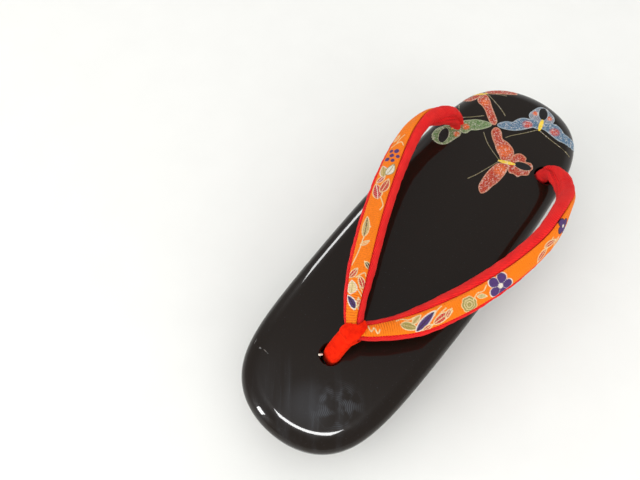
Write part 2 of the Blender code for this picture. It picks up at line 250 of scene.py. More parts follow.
# Each row: along is the share of the way from the apex back to the rear hole, bulge and rise are
# shares of the arm's bulge and of STRAP_RISE, width and thickness are shares of the band's own,
# and roll is how far the band's face leans outwards, in degrees.
ARM_COLUMNS = ("along", "bulge", "rise", "width", "thickness", "roll")
LATERAL_ROWS = (
    (0.000, 0.00, 0.60, 0.52, 0.78, 0),
    (0.055, 0.25, 0.60, 0.68, 0.85, 5),
    (0.160, 0.56, 0.58, 0.93, 0.95, 15),
    (0.290, 0.77, 0.61, 1.00, 1.00, 28),
    (0.410, 0.91, 0.69, 1.00, 1.00, 36),
    (0.530, 0.99, 0.80, 1.00, 1.00, 44),
    (0.650, 1.00, 0.94, 1.00, 1.00, 54),
    (0.740, 0.91, 0.99, 0.97, 1.00, 64),
    (0.820, 0.79, 0.85, 0.90, 1.00, 74),
    (0.890, 0.67, 0.62, 0.80, 1.00, 84),
    (0.950, 0.46, 0.45, 0.72, 1.00, 92),
    (0.985, 0.20, 0.34, 0.64, 1.00, 98),
    (1.000, 0.02, 0.12, 0.58, 1.05, 100),
)
MEDIAL_ROWS = (
    (0.000, 0.00, 0.60, 0.52, 0.78, 0),
    (0.055, 0.22, 0.74, 0.68, 0.85, 0),
    (0.160, 0.45, 0.80, 0.93, 0.95, 3),
    (0.290, 0.67, 0.84, 1.00, 1.00, 6),
    (0.410, 0.83, 0.88, 1.00, 1.00, 10),
    (0.530, 0.94, 0.88, 1.00, 1.00, 16),
    (0.650, 0.99, 0.88, 1.00, 1.00, 26),
    (0.750, 0.95, 0.91, 0.98, 1.00, 38),
    (0.830, 0.79, 0.92, 0.92, 1.00, 54),
    (0.890, 0.56, 0.78, 0.82, 1.00, 70),
    (0.945, 0.30, 0.58, 0.74, 1.00, 84),
    (0.985, 0.08, 0.33, 0.64, 1.00, 90),
    (1.000, 0.00, 0.12, 0.58, 1.05, 90),
)
PLUG_SHARES = (0.3, 1.0)

# Each row: along is the share of the loop's length, width and height are shares of its own.
WRAP_ROWS = (
    (0.00, 0.55, 0.45),
    (0.04, 0.80, 0.74),
    (0.14, 0.94, 0.93),
    (0.40, 1.00, 1.00),
    (0.70, 1.00, 0.97),
    (0.90, 0.94, 0.86),
    (0.97, 0.84, 0.70),
    (1.00, 0.60, 0.40),
)

# Each row: along is the share of the way from the toe hole's mouth to the loop's apex, and rise
# is the share of the climb between them.
STEM_COLUMNS = ("along", "rise")
STEM_ROWS = (
    (0.00, 0.00),
    (0.28, 0.36),
    (0.62, 0.70),
    (1.00, 1.00),
)

Hole = namedtuple("Hole", "mouth lean length")
Section = namedtuple("Section", "centre ahead inward face width thickness along run")


# Cloth print, charted. Run goes from the apex along the arm, across goes from the
# cover's middle towards its outer edge, and turn is from the run towards the outer edge, in
# degrees. Lengths are millimetres. Most leaves are red and most strokes cream.
Leaf = namedtuple("Leaf", "run across length width turn fill edge vein", defaults=("red", "cream", "cream"))
Flower = namedtuple("Flower", "run across radius petals turn fill edge heart")
Fan = namedtuple("Fan", "run across radius lobes fill edge")
Spot = namedtuple("Spot", "run across radius fill")
Stroke = namedtuple("Stroke", "points width fill", defaults=(0.40, "cream"))

INKS = {
    "orange": (0.93, 0.205, 0.003),
    "red": (0.56, 0.018, 0.022),
    "purple": (0.085, 0.040, 0.165),
    "cream": (0.80, 0.62, 0.33),
    "white": (0.80, 0.72, 0.62),
    "olive": (0.33, 0.27, 0.07),
    "beige": (0.60, 0.42, 0.17),
    "dark": (0.045, 0.026, 0.030),
}

LATERAL_PRINT = (
    Stroke(((7.6, -1.8), (8.8, 0.6), (10.2, -0.8), (11.4, 1.6), (12.6, 0.2)), 0.45),
    Leaf(25.5, 0.6, 7.5, 3.4, 24, "olive", "cream", "beige"),
    Stroke(((20.5, -2.6), (23.0, -3.0), (26.0, -2.0), (28.5, -2.6))),
    Leaf(29.5, -1.6, 5.6, 2.2, -30, "beige", "cream", "olive"),
    Leaf(33.2, 0.2, 12.6, 3.4, -28, "purple", "white", "dark"),
    Leaf(33.0, 3.2, 5.2, 2.0, -18),
    Stroke(((37.5, -0.6), (39.5, -2.2), (42.5, -3.4))),
    Stroke(((38.5, 0.4), (41.0, -0.8), (44.0, -1.8))),
    Leaf(41.0, 1.2, 10.4, 3.2, -12),
    Leaf(44.0, 0.6, 5.2, 2.0, -34),
    Fan(54.5, 1.0, 3.7, 7, "olive", "cream"),
    Stroke(((57.0, 0.0), (60.0, -1.8), (63.0, -1.4), (65.5, -3.0))),
    Leaf(61.5, 0.4, 4.6, 1.9, 28, "olive", "cream", "cream"),
    Flower(71.2, 0.7, 6.2, 5, 18, "purple", "white", "white"),
    Stroke(((92.0, 3.4), (95.0, 1.0), (99.0, 0.2), (104.0, -1.8))),
    Leaf(95.5, 1.0, 7.4, 2.8, -22),
    Leaf(101.5, -0.6, 7.0, 2.6, 16),
    Leaf(104.5, 2.2, 5.0, 2.0, -30, "orange", "cream", "cream"),
    Flower(111.6, -0.6, 4.0, 4, 0, "purple", "dark", "white"),
    Stroke(((134.5, -0.8), (136.5, 0.6)), 0.45),
    Stroke(((138.0, -1.2), (140.0, 0.2)), 0.45),
)
MEDIAL_PRINT = (
    Leaf(14.3, 0.9, 7.0, 2.9, 38, "purple", "white", "dark"),
    Leaf(14.0, -2.4, 5.0, 2.2, 12),
    Stroke(((11.0, -0.6), (12.6, -1.8), (15.0, -3.2))),
    Leaf(20.8, 1.7, 6.2, 4.2, 4, "cream", "white", "beige"),
    Stroke(((19.0, -3.6), (21.5, -1.4)), 0.45),
    Stroke(((17.6, -3.0), (20.0, -0.8)), 0.45),
    Leaf(24.0, -2.0, 6.0, 2.9, 28),
    Leaf(27.5, 2.2, 5.6, 2.8, -32),
    Stroke(((25.5, 0.8), (27.0, -0.6), (28.5, -2.6), (27.0, -3.4))),
    Leaf(32.6, -3.2, 4.0, 2.4, 46, "dark", "cream", "cream"),
    Stroke(((31.5, 3.9), (36.0, 2.6), (41.0, 1.8), (46.0, 1.3), (52.0, -0.4)), 0.42),
    Leaf(43.0, 0.2, 4.4, 1.6, -50, "orange", "cream", "cream"),
    Leaf(51.5, 1.5, 10.5, 3.2, 4, "beige", "cream", "dark"),
    Stroke(((61.5, -2.6), (64.0, -3.4), (66.5, -2.2), (69.0, -0.6))),
    Leaf(71.4, 1.3, 9.0, 4.6, 22, "red", "cream", "white"),
    Leaf(75.0, -1.6, 8.6, 3.6, -12),
    Leaf(78.4, 1.4, 5.6, 2.6, -30, "red", "cream", "white"),
    Leaf(83.4, 1.6, 7.0, 4.0, 20, "beige", "white", "olive"),
    Leaf(84.8, -1.6, 7.4, 4.0, -16, "white", "olive", "olive"),
    Spot(91.0, 2.3, 1.30, "purple"),
    Spot(90.6, -0.8, 1.05, "purple"),
    Spot(93.6, 0.6, 1.20, "purple"),
    Spot(93.4, -2.6, 1.05, "purple"),
    Spot(96.4, 1.9, 1.10, "purple"),
    Spot(96.6, -1.0, 1.35, "purple"),
    Stroke(((99.0, 3.0), (101.5, 0.8), (104.5, 0.2), (107.5, -1.4)), 0.42),
    Stroke(((101.0, -3.2), (102.8, -1.4), (101.6, 0.6)), 0.42),
    Leaf(105.0, 2.2, 4.6, 1.8, -20, "orange", "cream", "cream"),
)

# How far the whole print is moved along each arm and across it, in millimetres
LATERAL_PRINT_SHIFT = (1.4, 0.1)
MEDIAL_PRINT_SHIFT = (1.9, 0.3)

# Painted butterflies, charted on the plan in millimetres. A wing is a closed smooth outline.
Wing = namedtuple("Wing", "fill patches points")
Butterfly = namedtuple("Butterfly", "name wings oval body antennae edge")

RED_WINGS = (0.42, 0.030, 0.008)
BLUE_WINGS = (0.075, 0.150, 0.235)
GREY_WINGS = (0.20, 0.21, 0.25)
GREEN_WINGS = (0.10, 0.185, 0.055)
ORANGE_PATCH = (0.66, 0.100, 0.010)
RED_PATCH = (0.46, 0.050, 0.035)
PALE_PINK = (0.54, 0.28, 0.17)
PALE_BLUE = (0.32, 0.38, 0.42)
PALE_GREEN = (0.36, 0.40, 0.25)
YELLOW = (0.80, 0.56, 0.04)
GOLD = (0.20, 0.17, 0.085)
BLACK = (0.006, 0.005, 0.005)

NEAR_BUTTERFLY = Butterfly(
    "painted_butterfly_near",
    (
        Wing(RED_WINGS, ((3.0, 0.6, 4.2, ORANGE_PATCH),), (
            (5.0, -5.6), (2.4, -3.6), (-0.8, -1.4), (-3.4, 1.2), (-6.6, 4.0), (-9.4, 7.6), (-9.3, 11.0),
            (-7.2, 11.9), (-4.6, 10.4), (-1.8, 7.0), (1.6, 6.6), (5.4, 5.0), (7.6, 3.0), (8.6, 0.4),
            (8.4, -3.4))),
        Wing(RED_WINGS, ((8.2, -11.4, 3.8, ORANGE_PATCH),), (
            (6.8, -6.6), (4.4, -8.6), (3.4, -12.6), (3.0, -17.4), (3.4, -23.0), (4.4, -27.4), (7.4, -30.0),
            (9.3, -27.4), (10.0, -22.6), (10.9, -18.8), (11.2, -14.4), (11.0, -10.2), (9.8, -6.2))),
        Wing(RED_WINGS, (), (
            (8.8, -4.0), (8.2, -0.8), (8.8, 2.2), (10.6, 4.2), (13.0, 4.3), (15.0, 3.4), (15.7, 1.5),
            (18.6, 2.2), (20.9, 0.0), (20.8, -2.6), (21.0, -5.4), (18.4, -7.6), (17.2, -9.6), (14.6, -9.4),
            (12.6, -10.1), (10.6, -8.4), (9.6, -6.2))),
    ),
    ((11.6, -3.2), (20.3, -0.9), 2.3),
    ((3.6, -6.9), (12.4, -3.5), 0.95),
    (
        ((4.2, -6.3), (-2.2, -3.2), (-7.4, 0.0), (-12.3, 4.4)),
        ((4.2, -7.2), (2.2, -13.4), (-0.4, -21.0), (-2.8, -26.3)),
    ),
    PALE_PINK,
)
OUTER_BUTTERFLY = Butterfly(
    "painted_butterfly_outer",
    (
        Wing(BLUE_WINGS, ((3.9, 23.6, 2.8, RED_PATCH),), (
            (9.8, 24.4), (7.2, 23.4), (3.4, 18.6), (0.2, 15.6), (-3.6, 13.6), (-7.4, 12.6), (-9.3, 13.5),
            (-8.6, 16.0), (-6.2, 18.8), (-3.6, 20.2), (-2.4, 23.6), (-0.4, 26.2), (3.0, 27.9), (6.8, 29.4),
            (9.4, 28.6))),
        Wing(BLUE_WINGS, ((18.2, 28.0, 2.8, RED_PATCH),), (
            (10.6, 26.0), (13.8, 25.8), (18.0, 24.8), (22.6, 24.0), (27.0, 24.6), (31.6, 25.6), (32.0, 28.8),
            (30.0, 31.0), (26.0, 30.6), (23.0, 30.4), (19.6, 32.2), (16.4, 33.0), (12.8, 31.6), (9.8, 29.2))),
        Wing(GREY_WINGS, ((3.3, 33.0, 1.5, ORANGE_PATCH), (11.4, 34.6, 1.5, ORANGE_PATCH)), (
            (8.6, 28.2), (5.4, 28.0), (2.2, 28.6), (0.8, 31.0), (1.3, 34.2), (2.3, 37.2), (4.2, 39.4),
            (6.8, 40.0), (9.4, 39.0), (11.8, 37.8), (13.8, 36.0), (14.6, 33.0), (13.8, 30.4), (11.2, 28.6))),
    ),
    ((9.0, 31.4), (5.2, 39.2), 2.4),
    ((11.0, 23.6), (8.8, 31.6), 1.15),
    (
        ((10.4, 24.2), (5.4, 17.4), (1.0, 12.0), (-0.9, 8.8)),
        ((11.2, 24.0), (17.6, 22.4), (25.4, 20.9), (32.4, 19.6)),
    ),
    PALE_BLUE,
)
RIM_BUTTERFLY = Butterfly(
    "painted_butterfly_rim",
    (
        Wing(RED_WINGS, ((-22.8, 22.8, 2.4, ORANGE_PATCH),), (
            (-26.6, 28.0), (-27.8, 24.4), (-26.6, 20.8), (-22.8, 19.6), (-19.6, 17.7), (-16.0, 14.4),
            (-12.8, 12.2), (-10.2, 12.4), (-10.4, 15.4), (-13.4, 18.4), (-18.0, 22.4), (-21.2, 25.6),
            (-24.6, 28.2))),
        Wing(RED_WINGS, (), (
            (-26.8, 30.0), (-27.6, 33.0), (-24.0, 36.4), (-18.0, 39.6), (-13.2, 41.0), (-11.6, 39.4),
            (-14.6, 36.6), (-19.2, 33.6), (-23.2, 30.6))),
        Wing(RED_WINGS, (), (
            (-27.8, 27.4), (-28.0, 23.2), (-29.4, 20.0), (-31.8, 18.4), (-34.6, 19.2), (-35.6, 22.4),
            (-34.4, 26.2), (-31.6, 29.6), (-28.8, 30.4))),
    ),
    ((-31.6, 26.0), (-36.4, 21.0), 1.5),
    ((-25.4, 29.6), (-32.0, 25.7), 0.75),
    (
        ((-25.2, 29.2), (-18.8, 26.6), (-13.4, 24.2), (-9.1, 21.6)),
        ((-25.0, 30.2), (-20.4, 32.4), (-15.8, 34.2)),
    ),
    PALE_PINK,
)
INNER_BUTTERFLY = Butterfly(
    "painted_butterfly_inner",
    (
        Wing(GREEN_WINGS, ((-22.2, 1.8, 2.2, ORANGE_PATCH),), (
            (-25.6, 1.6), (-25.4, 4.6), (-22.6, 7.6), (-20.0, 9.8), (-16.0, 11.6), (-12.4, 12.2),
            (-11.4, 10.6), (-13.4, 6.8), (-16.2, 3.4), (-18.6, 1.4), (-19.4, -1.6), (-21.8, -2.8),
            (-24.2, -1.4))),
        Wing(GREEN_WINGS, (), (
            (-26.4, 2.0), (-28.4, 3.8), (-31.6, 5.8), (-35.4, 6.6), (-37.6, 4.6), (-36.6, 1.4), (-33.6, -0.6),
            (-30.0, -1.8), (-27.2, -1.2))),
        Wing(GREEN_WINGS, ((-23.4, -5.6, 1.9, ORANGE_PATCH),), (
            (-25.8, 0.0), (-22.6, -2.4), (-21.4, -5.2), (-22.2, -8.4), (-23.2, -12.2), (-24.6, -15.2),
            (-27.6, -17.0), (-31.4, -16.6), (-34.2, -13.6), (-34.6, -9.2), (-32.6, -5.2), (-29.6, -2.2))),
    ),
    ((-30.0, -5.6), (-27.2, -15.6), 2.5),
    ((-25.4, 3.6), (-27.6, -4.6), 0.75),
    (
        ((-26.0, 3.4), (-27.2, 5.8), (-23.4, 9.4), (-18.5, 14.3)),
        ((-26.6, 3.6), (-31.0, 8.8), (-33.8, 13.4)),
    ),
    PALE_GREEN,
)
BUTTERFLIES = (NEAR_BUTTERFLY, OUTER_BUTTERFLY, RIM_BUTTERFLY, INNER_BUTTERFLY)

# Hairlines in the lacquer near the toe, in millimetres on the plan.
HAIRLINES = (
    ((-28.1, -164.1), (-25.5, -163.4), (-22.9, -163.7)),
    ((-32.2, -161.0), (-31.6, -163.6)),
)


# Small helpers


def smoothstep(low, high, value):
    share = np.clip((value - low) / (high - low), 0.0, 1.0)
    return share * share * (3 - 2 * share)


def fade(low, high, value):
    return float(smoothstep(low, high, value))


def bell(value):
    """A soft bump: 1 at 0, and almost nothing past 2 on either side."""
    return math.exp(-(value**2))


def even_turns(count):
    return [2 * math.pi * i / count for i in range(count)]


def add_object(name, data, finish=None):
    obj = bpy.data.objects.new(name, data)
    bpy.context.scene.collection.objects.link(obj)
    if finish:
        data.materials.append(finish)
    return obj


def aim(obj, place, target):
    obj.location = place
    obj.rotation_euler = (Vector(target) - Vector(place)).to_track_quat("-Z", "Y").to_euler()


def finished_mesh(bm, name):
    """Turns all faces outwards and makes them a mesh."""
    mesh = bpy.data.meshes.new(name)
    bmesh.ops.recalc_face_normals(bm, faces=bm.faces)
    bm.to_mesh(mesh)
    bm.free()
    return mesh


def loft(name, rings, finish=None, closed=False):
    """A solid through rings of equally many points, with a cap at each end unless it is closed."""
    bm = bmesh.new()
    rows = [[bm.verts.new(point) for point in ring] for ring in rings]
    count = len(rows[0])
    following = rows[1:] + rows[:1] if closed else rows[1:]
    for low, high in zip(rows, following):
        for i in range(count):
            j = (i + 1) % count
            bm.faces.new((low[i], low[j], high[j], high[i]))
    if not closed:
        bm.faces.new(rows[0])
        bm.faces.new(rows[-1])
    mesh = finished_mesh(bm, name)
    mesh.shade_smooth()
    return add_object(name, mesh, finish)


def set_vectors(mesh, name, values):
    """Stores three numbers for each vertex, for the material to read."""
    attribute = mesh.attributes.new(name, "FLOAT_VECTOR", "POINT")
    attribute.data.foreach_set("vector", np.asarray(values, dtype=np.float32).ravel())


def set_colours(mesh, name, values):
    attribute = mesh.color_attributes.new(name, "FLOAT_COLOR", "POINT")
    full = np.ones((len(values), 4), dtype=np.float32)
    full[:, :3] = values
    attribute.data.foreach_set("color", full.ravel())


def apply_modifiers(obj):
    graph = bpy.context.evaluated_depsgraph_get()
    mesh = bpy.data.meshes.new_from_object(obj.evaluated_get(graph))
    obj.modifiers.clear()
    obj.data = mesh


def cut(obj, cutter, operation="DIFFERENCE"):
    boolean = obj.modifiers.new(operation.title(), "BOOLEAN")
    boolean.operation = operation
    boolean.object = cutter
    apply_modifiers(obj)
    bpy.data.objects.remove(cutter)


def through_rows(rows, steps, closed=False):
    """Samples a smooth curve through rows of numbers, steps samples from each row to the next."""
    rows = list(rows)
    if closed:
        padded = [rows[-1]] + rows + rows[:2]
    else:
        padded = [rows[0]] + rows + [rows[-1]]
    samples = []
    for i in range(1, len(padded) - 2):
        before, start, end, after = padded[i - 1 : i + 3]
        for step in range(steps):
            t = step / steps
            samples.append(
                [
                    0.5 * (2 * b + (c - a) * t + (2 * a - 5 * b + 4 * c - d) * t**2
                           + (3 * b - a - 3 * c + d) * t**3)
                    for a, b, c, d in zip(before, start, end, after)
                ]
            )
    if not closed:
        samples.append(list(rows[-1]))
    return samples


def distance_to_line(points, line, closed=False):
    """The distance from each point to a line of many short pieces, all of them on a plane."""
    starts = np.asarray(line, dtype=float)
    ends = np.roll(starts, -1, axis=0)
    if not closed:
        starts = starts[:-1]
        ends = ends[:-1]
    nearest = np.full(len(points), np.inf)
    for start, end in zip(starts, ends):
        piece = end - start
        share = np.clip((points - start) @ piece / max(piece @ piece, 1e-12), 0, 1)
        nearest = np.minimum(nearest, np.linalg.norm(points - start - share[:, None] * piece, axis=1))
    return nearest


def inside_line(points, line):
    """Which points lie inside a closed line."""
    inside = np.zeros(len(points), dtype=bool)
    x, y = points[:, 0], points[:, 1]
    for (ax, ay), (bx, by) in zip(line, np.roll(line, -1, axis=0)):
        if ay != by:
            crosses = (ay > y) != (by > y)
            inside ^= crosses & (x < (bx - ax) * (y - ay) / (by - ay) + ax)
    return inside


# Base


def top_height(y):
    return HEIGHT_AT_TOE + (HEIGHT_AT_HEEL - HEIGHT_AT_TOE) * (y - TOE_TIP_Y) / LENGTH


def on_outline(angle):
    along = -math.cos(angle)
    fullness = 1 + SIDE_FULLNESS * along**2 + END_FULLNESS * along**4
    return Vector((WIDTH / 2 * math.sin(angle) * fullness, MIDDLE_Y + LENGTH / 2 * along))


def outward_at(turn):
    small = 1e-3
    tangent = (on_outline(turn + small) - on_outline(turn - small)).normalized()
    return Vector((tangent.y, -tangent.x))


def underside(y):
    """Height of the underside above the floor."""
    spring_end = TOE_TIP_Y + TOE_SPRING_LENGTH
    if y < spring_end:
        return TOE_SPRING * ((spring_end - y) / TOE_SPRING_LENGTH) ** TOE_SPRING_CURVE
    across = (y - spring_end - FOREFOOT_REST) / (ARCH_LENGTH / 2) - 1
    return ARCH_HEIGHT * max(0.0, 1 - abs(across) ** ARCH_ROUNDNESS)


def wall_inset(depth):
    """How far the side lies inside the outline at this depth below the top, past the lip."""
    below = depth - LIP_HEIGHT
    blended = (math.hypot(below, TAPER_BLEND) + below) / 2
    return math.tan(WALL_TAPER) * blended


def side_profile(turn):
    """Points down the base's side at one place of its outline."""
    start = on_outline(turn)
    outward = outward_at(turn)

    def at(inset, depth):
        place = start - outward * inset
        return Vector((place.x, place.y, top_height(place.y) - depth))

    points = []
    for step in range(LIP_STEPS + 1):
        angle = math.radians(90) * step / LIP_STEPS
        points.append(at(LIP_WIDTH * (1 - math.sin(angle)), LIP_DROP * (1 - math.cos(angle))))
    depth = top_height(start.y)
    for _ in range(5):
        y = at(wall_inset(depth), depth).y
        depth = top_height(y) - underside(y)
    wall_end = depth - EDGE_ROUNDING
    for step in range(1, WALL_STEPS + 1):
        down = LIP_DROP + (wall_end - LIP_DROP) * (step / WALL_STEPS) ** 1.5
        points.append(at(wall_inset(down), down))
    for step in range(1, EDGE_STEPS + 1):
        angle = math.radians(90) * step / EDGE_STEPS
        inset = wall_inset(wall_end) + EDGE_ROUNDING * (1 - math.cos(angle))
        points.append(at(inset, wall_end + EDGE_ROUNDING * math.sin(angle)))
    return points


def base_mesh():
    """The block with its lip, tapering wall and curved underside, capped with strips across."""
    bm = bmesh.new()
    columns = []
    for turn in even_turns(PLAN_STEPS):
        columns.append([bm.verts.new(point) for point in side_profile(turn)])
    for i in range(PLAN_STEPS):
        here = columns[i]
        there = columns[(i + 1) % PLAN_STEPS]
        for j in range(len(here) - 1):
            bm.faces.new((here[j], there[j], there[j + 1], here[j + 1]))
    half = PLAN_STEPS // 2
    for level in (0, -1):
        ring = [column[level] for column in columns]
        bm.faces.new((ring[0], ring[1], ring[-1]))
        for i in range(1, half - 1):
            bm.faces.new((ring[i], ring[i + 1], ring[-i - 1], ring[-i]))
        bm.faces.new((ring[half - 1], ring[half], ring[half + 1]))
    return finished_mesh(bm, "base_lacquered")


def strap_holes():
    """Each hole's name, its mouth in the top, its lean, and the length down to its recess."""
    toe_mouth = Vector((0, TOE_HOLE_Y, top_height(TOE_HOLE_Y)))
    holes = {"toe": Hole(toe_mouth, 0, toe_mouth.z - TOE_RECESS_DEPTH)}
    rear_length = (top_height(0) - HEEL_RECESS_DEPTH) / math.cos(REAR_HOLE_SLANT)
    for name, side in (("lateral", 1), ("medial", -1)):
        mouth = Vector((side * REAR_HOLE_SPACING / 2, 0, top_height(0)))
        holes[name] = Hole(mouth, side * REAR_HOLE_SLANT, rear_length)
    return holes


def hole_axes(hole):
    """The directions up out of a hole, to its side and along the base."""
    up = Vector((math.sin(hole.lean), 0, math.cos(hole.lean)))
    return up, Vector((up.z, 0, -up.x)), Vector((0, 1, 0))


def hole_cutter(hole):
    radius = HOLE_DIAMETER / 2
    recess = RECESS_DIAMETER / 2
    deep = -hole.mouth.z - RECESS_DIAMETER
    profile = [
        (radius + HOLE_CHAMFER + LIP_DROP, LIP_DROP),
        (radius + HOLE_CHAMFER * 0.3, -HOLE_CHAMFER * 0.4),
        (radius, -HOLE_CHAMFER),
        (radius, -hole.length),
        (recess, -hole.length),
        (recess, deep),
    ]
    up, side, along = hole_axes(hole)
    round_hole = [side * math.cos(turn) + along * math.sin(turn) for turn in even_turns(HOLE_SIDES)]
    rings = []
    for reach, height in profile:
        rings.append([hole.mouth + up * height + out * reach for out in round_hole])
    return loft("hole_cutter", rings)


def lacquered_base(finish):
    base = add_object("base_lacquered", base_mesh(), finish)
    for hole in strap_holes().values():
        cut(base, hole_cutter(hole))
    base.data.shade_smooth()
    base.data.set_sharp_from_angle(angle=math.radians(30))
    weighted = base.modifiers.new("Normals", "WEIGHTED_NORMAL")
    weighted.keep_sharp = True
    return base


# Paint on the base


def on_top(points, lift):
    """Places on the lacquered top and over its lip, a little above the surface."""
    turns = np.linspace(0, 2 * math.pi, 720, endpoint=False)
    outline = np.array([on_outline(turn) for turn in turns])
    away = np.linalg.norm(points[:, None, :] - outline[None, :, :], axis=2)
    nearest = away.argmin(axis=1)
    edge = outline[nearest]
    outward = np.array([outward_at(turn) for turn in turns])[nearest]
    inset = np.clip(np.einsum("ij,ij->i", edge - points, outward), 0.02 * LIP_WIDTH, None)
    on_lip = inset < LIP_WIDTH
    plan = np.where(on_lip[:, None], edge - outward * inset[:, None], points)
    angle = np.where(on_lip, np.arcsin(1 - np.minimum(inset / LIP_WIDTH, 1)), 0)
    across = LIP_DROP * np.sin(angle)
    up = LIP_WIDTH * np.cos(angle)
    size = np.hypot(across, up)
    places = np.empty((len(points), 3))
    places[:, :2] = plan + outward * (across / size * lift)[:, None]
    places[:, 2] = top_height(plan[:, 1]) - LIP_DROP * (1 - np.cos(angle)) + up / size * lift
    return places


def paint_layer(bm, colours, outline, lift, shade):
    """Adds a thin closed layer of paint inside a closed outline, coloured point by point."""
    outline = np.asarray(outline)
    low = outline.min(axis=0)
    high = outline.max(axis=0)
    xs = np.arange(low[0], high[0], PAINT_STEP)
    ys = np.arange(low[1], high[1], PAINT_STEP * PAINT_ROW_SHARE)
    grid = np.array([(x + PAINT_STEP / 2 * (j % 2), y) for j, y in enumerate(ys) for x in xs])
    keep = inside_line(grid, outline) & (distance_to_line(grid, outline, True) > PAINT_STEP * PAINT_MARGIN)
    flat = [Vector(point) for point in np.concatenate([outline, grid[keep]])]
    verts, _, faces, *_ = geometry.delaunay_2d_cdt(flat, [], [list(range(len(outline)))], 1, 1e-7)
    plan = np.array(verts)
    tones = shade(plan, distance_to_line(plan, outline, True))
    upper = [bm.verts.new(place) for place in on_top(plan, lift)]
    lower = [bm.verts.new(place) for place in on_top(plan, PAINT_ROOT)]
    colours.extend(tones)
    colours.extend(tones)
    beneath = dict(zip(upper, lower))
    tops = [bm.faces.new([upper[i] for i in face]) for face in faces]
    for face in faces:
        bm.faces.new([lower[i] for i in reversed(face)])
    rim = [edge for face in tops for edge in face.edges if edge.is_boundary]
    for edge in rim:
        one, two = edge.verts
        bm.faces.new((one, two, beneath[two], beneath[one]))


def ribbon_outline(points, width):
    """The closed outline of a thin line, a little thicker at its far end."""
    line = np.array(through_rows(points, 8))
    ahead = np.gradient(line, axis=0)
    ahead /= np.linalg.norm(ahead, axis=1)[:, None]
    aside = np.stack([-ahead[:, 1], ahead[:, 0]], axis=1)
    half = np.linspace(width * 0.38, width * 0.5, len(line))[:, None]
    tip = line[-1] + ahead[-1] * width
    return np.concatenate([line + aside * half, [tip], (line - aside * half)[::-1]])


def oval_outline(start, end, half_width):
    start = np.array(start)
    end = np.array(end)
    along = (end - start) / 2
    aside = np.array([-along[1], along[0]]) / np.linalg.norm(along) * half_width
    turns = np.linspace(0, 2 * math.pi, 40, endpoint=False)
    return (start + end) / 2 + np.outer(np.cos(turns), along) + np.outer(np.sin(turns), aside)


def painted_object(name, layers, finish):
    """One object of several paint layers, each an outline in metres, a lift and a shade."""
    bm = bmesh.new()
    colours = []
    for outline, lift, shade in layers:
        paint_layer(bm, colours, outline, PAINT_LIFT * lift, shade)
    mesh = finished_mesh(bm, name)
    set_colours(mesh, "paint", np.array(colours))
    return add_object(name, mesh, finish)


def butterfly(design, finish):
    rng = np.random.default_rng(len(design.name))
    edge = np.array(design.edge)

    def wing_shade(wing):
        def shade(plan, rim):
            tone = np.tile(wing.fill, (len(plan), 1)).astype(float)
            for x, y, radius, patch in wing.patches:
                away = np.linalg.norm(plan / MM - (x, y), axis=1)
                share = (1 - smoothstep(radius * 0.55, radius * 1.25, away))[:, None]
                tone = tone * (1 - share) + np.array(patch) * share
            tone *= (0.72 + 0.5 * rng.random(len(plan)))[:, None]
            glint = (GLITTER_PALENESS * (rng.random(len(plan)) > GLITTER_FREE))[:, None]
            tone = tone * (1 - glint) + edge * glint
            share = (1 - smoothstep(WING_RIM_FULL * MM, WING_RIM_ENDS * MM, rim))[:, None]
            share = share * (0.55 + 0.45 * rng.random(len(plan)))[:, None]
            return tone * (1 - share) + edge * share
        return shade

    def one_tone(tone):
        def shade(plan, rim):
            return np.tile(tone, (len(plan), 1)) * (0.85 + 0.3 * rng.random(len(plan)))[:, None]
        return shade

    layers = []

    def add_oval(oval, grown, lift, tone):
        start, end, half_width = oval
        layers.append((oval_outline(start, end, half_width + grown) * MM, lift, one_tone(tone)))

    for level, wing in enumerate(reversed(design.wings)):
        outline = np.array(through_rows(wing.points, 6, closed=True)) * MM
        layers.append((outline, WING_LIFT + NEXT_WING_LIFT * level, wing_shade(wing)))
    add_oval(design.oval, OVAL_EDGE, OVAL_EDGE_LIFT, design.edge)
    add_oval(design.oval, 0, OVAL_LIFT, BLACK)
    for points in design.antennae:
        outline = ribbon_outline(np.array(points) * MM, ANTENNA_WIDTH * MM)
        layers.append((outline, ANTENNA_LIFT, one_tone(GOLD)))
    add_oval(design.body, 0, BODY_LIFT, YELLOW)
    return painted_object(design.name, layers, finish)


def hairlines(finish):
    def shade(plan, rim):
        return np.full((len(plan), 3), 0.16)

    layers = []
    for points in HAIRLINES:
        outline = ribbon_outline(np.array(points) * MM, HAIRLINE_WIDTH * MM)
        layers.append((outline, HAIRLINE_LIFT, shade))
    return painted_object("lacquer_hairlines", layers, finish)


# Strap


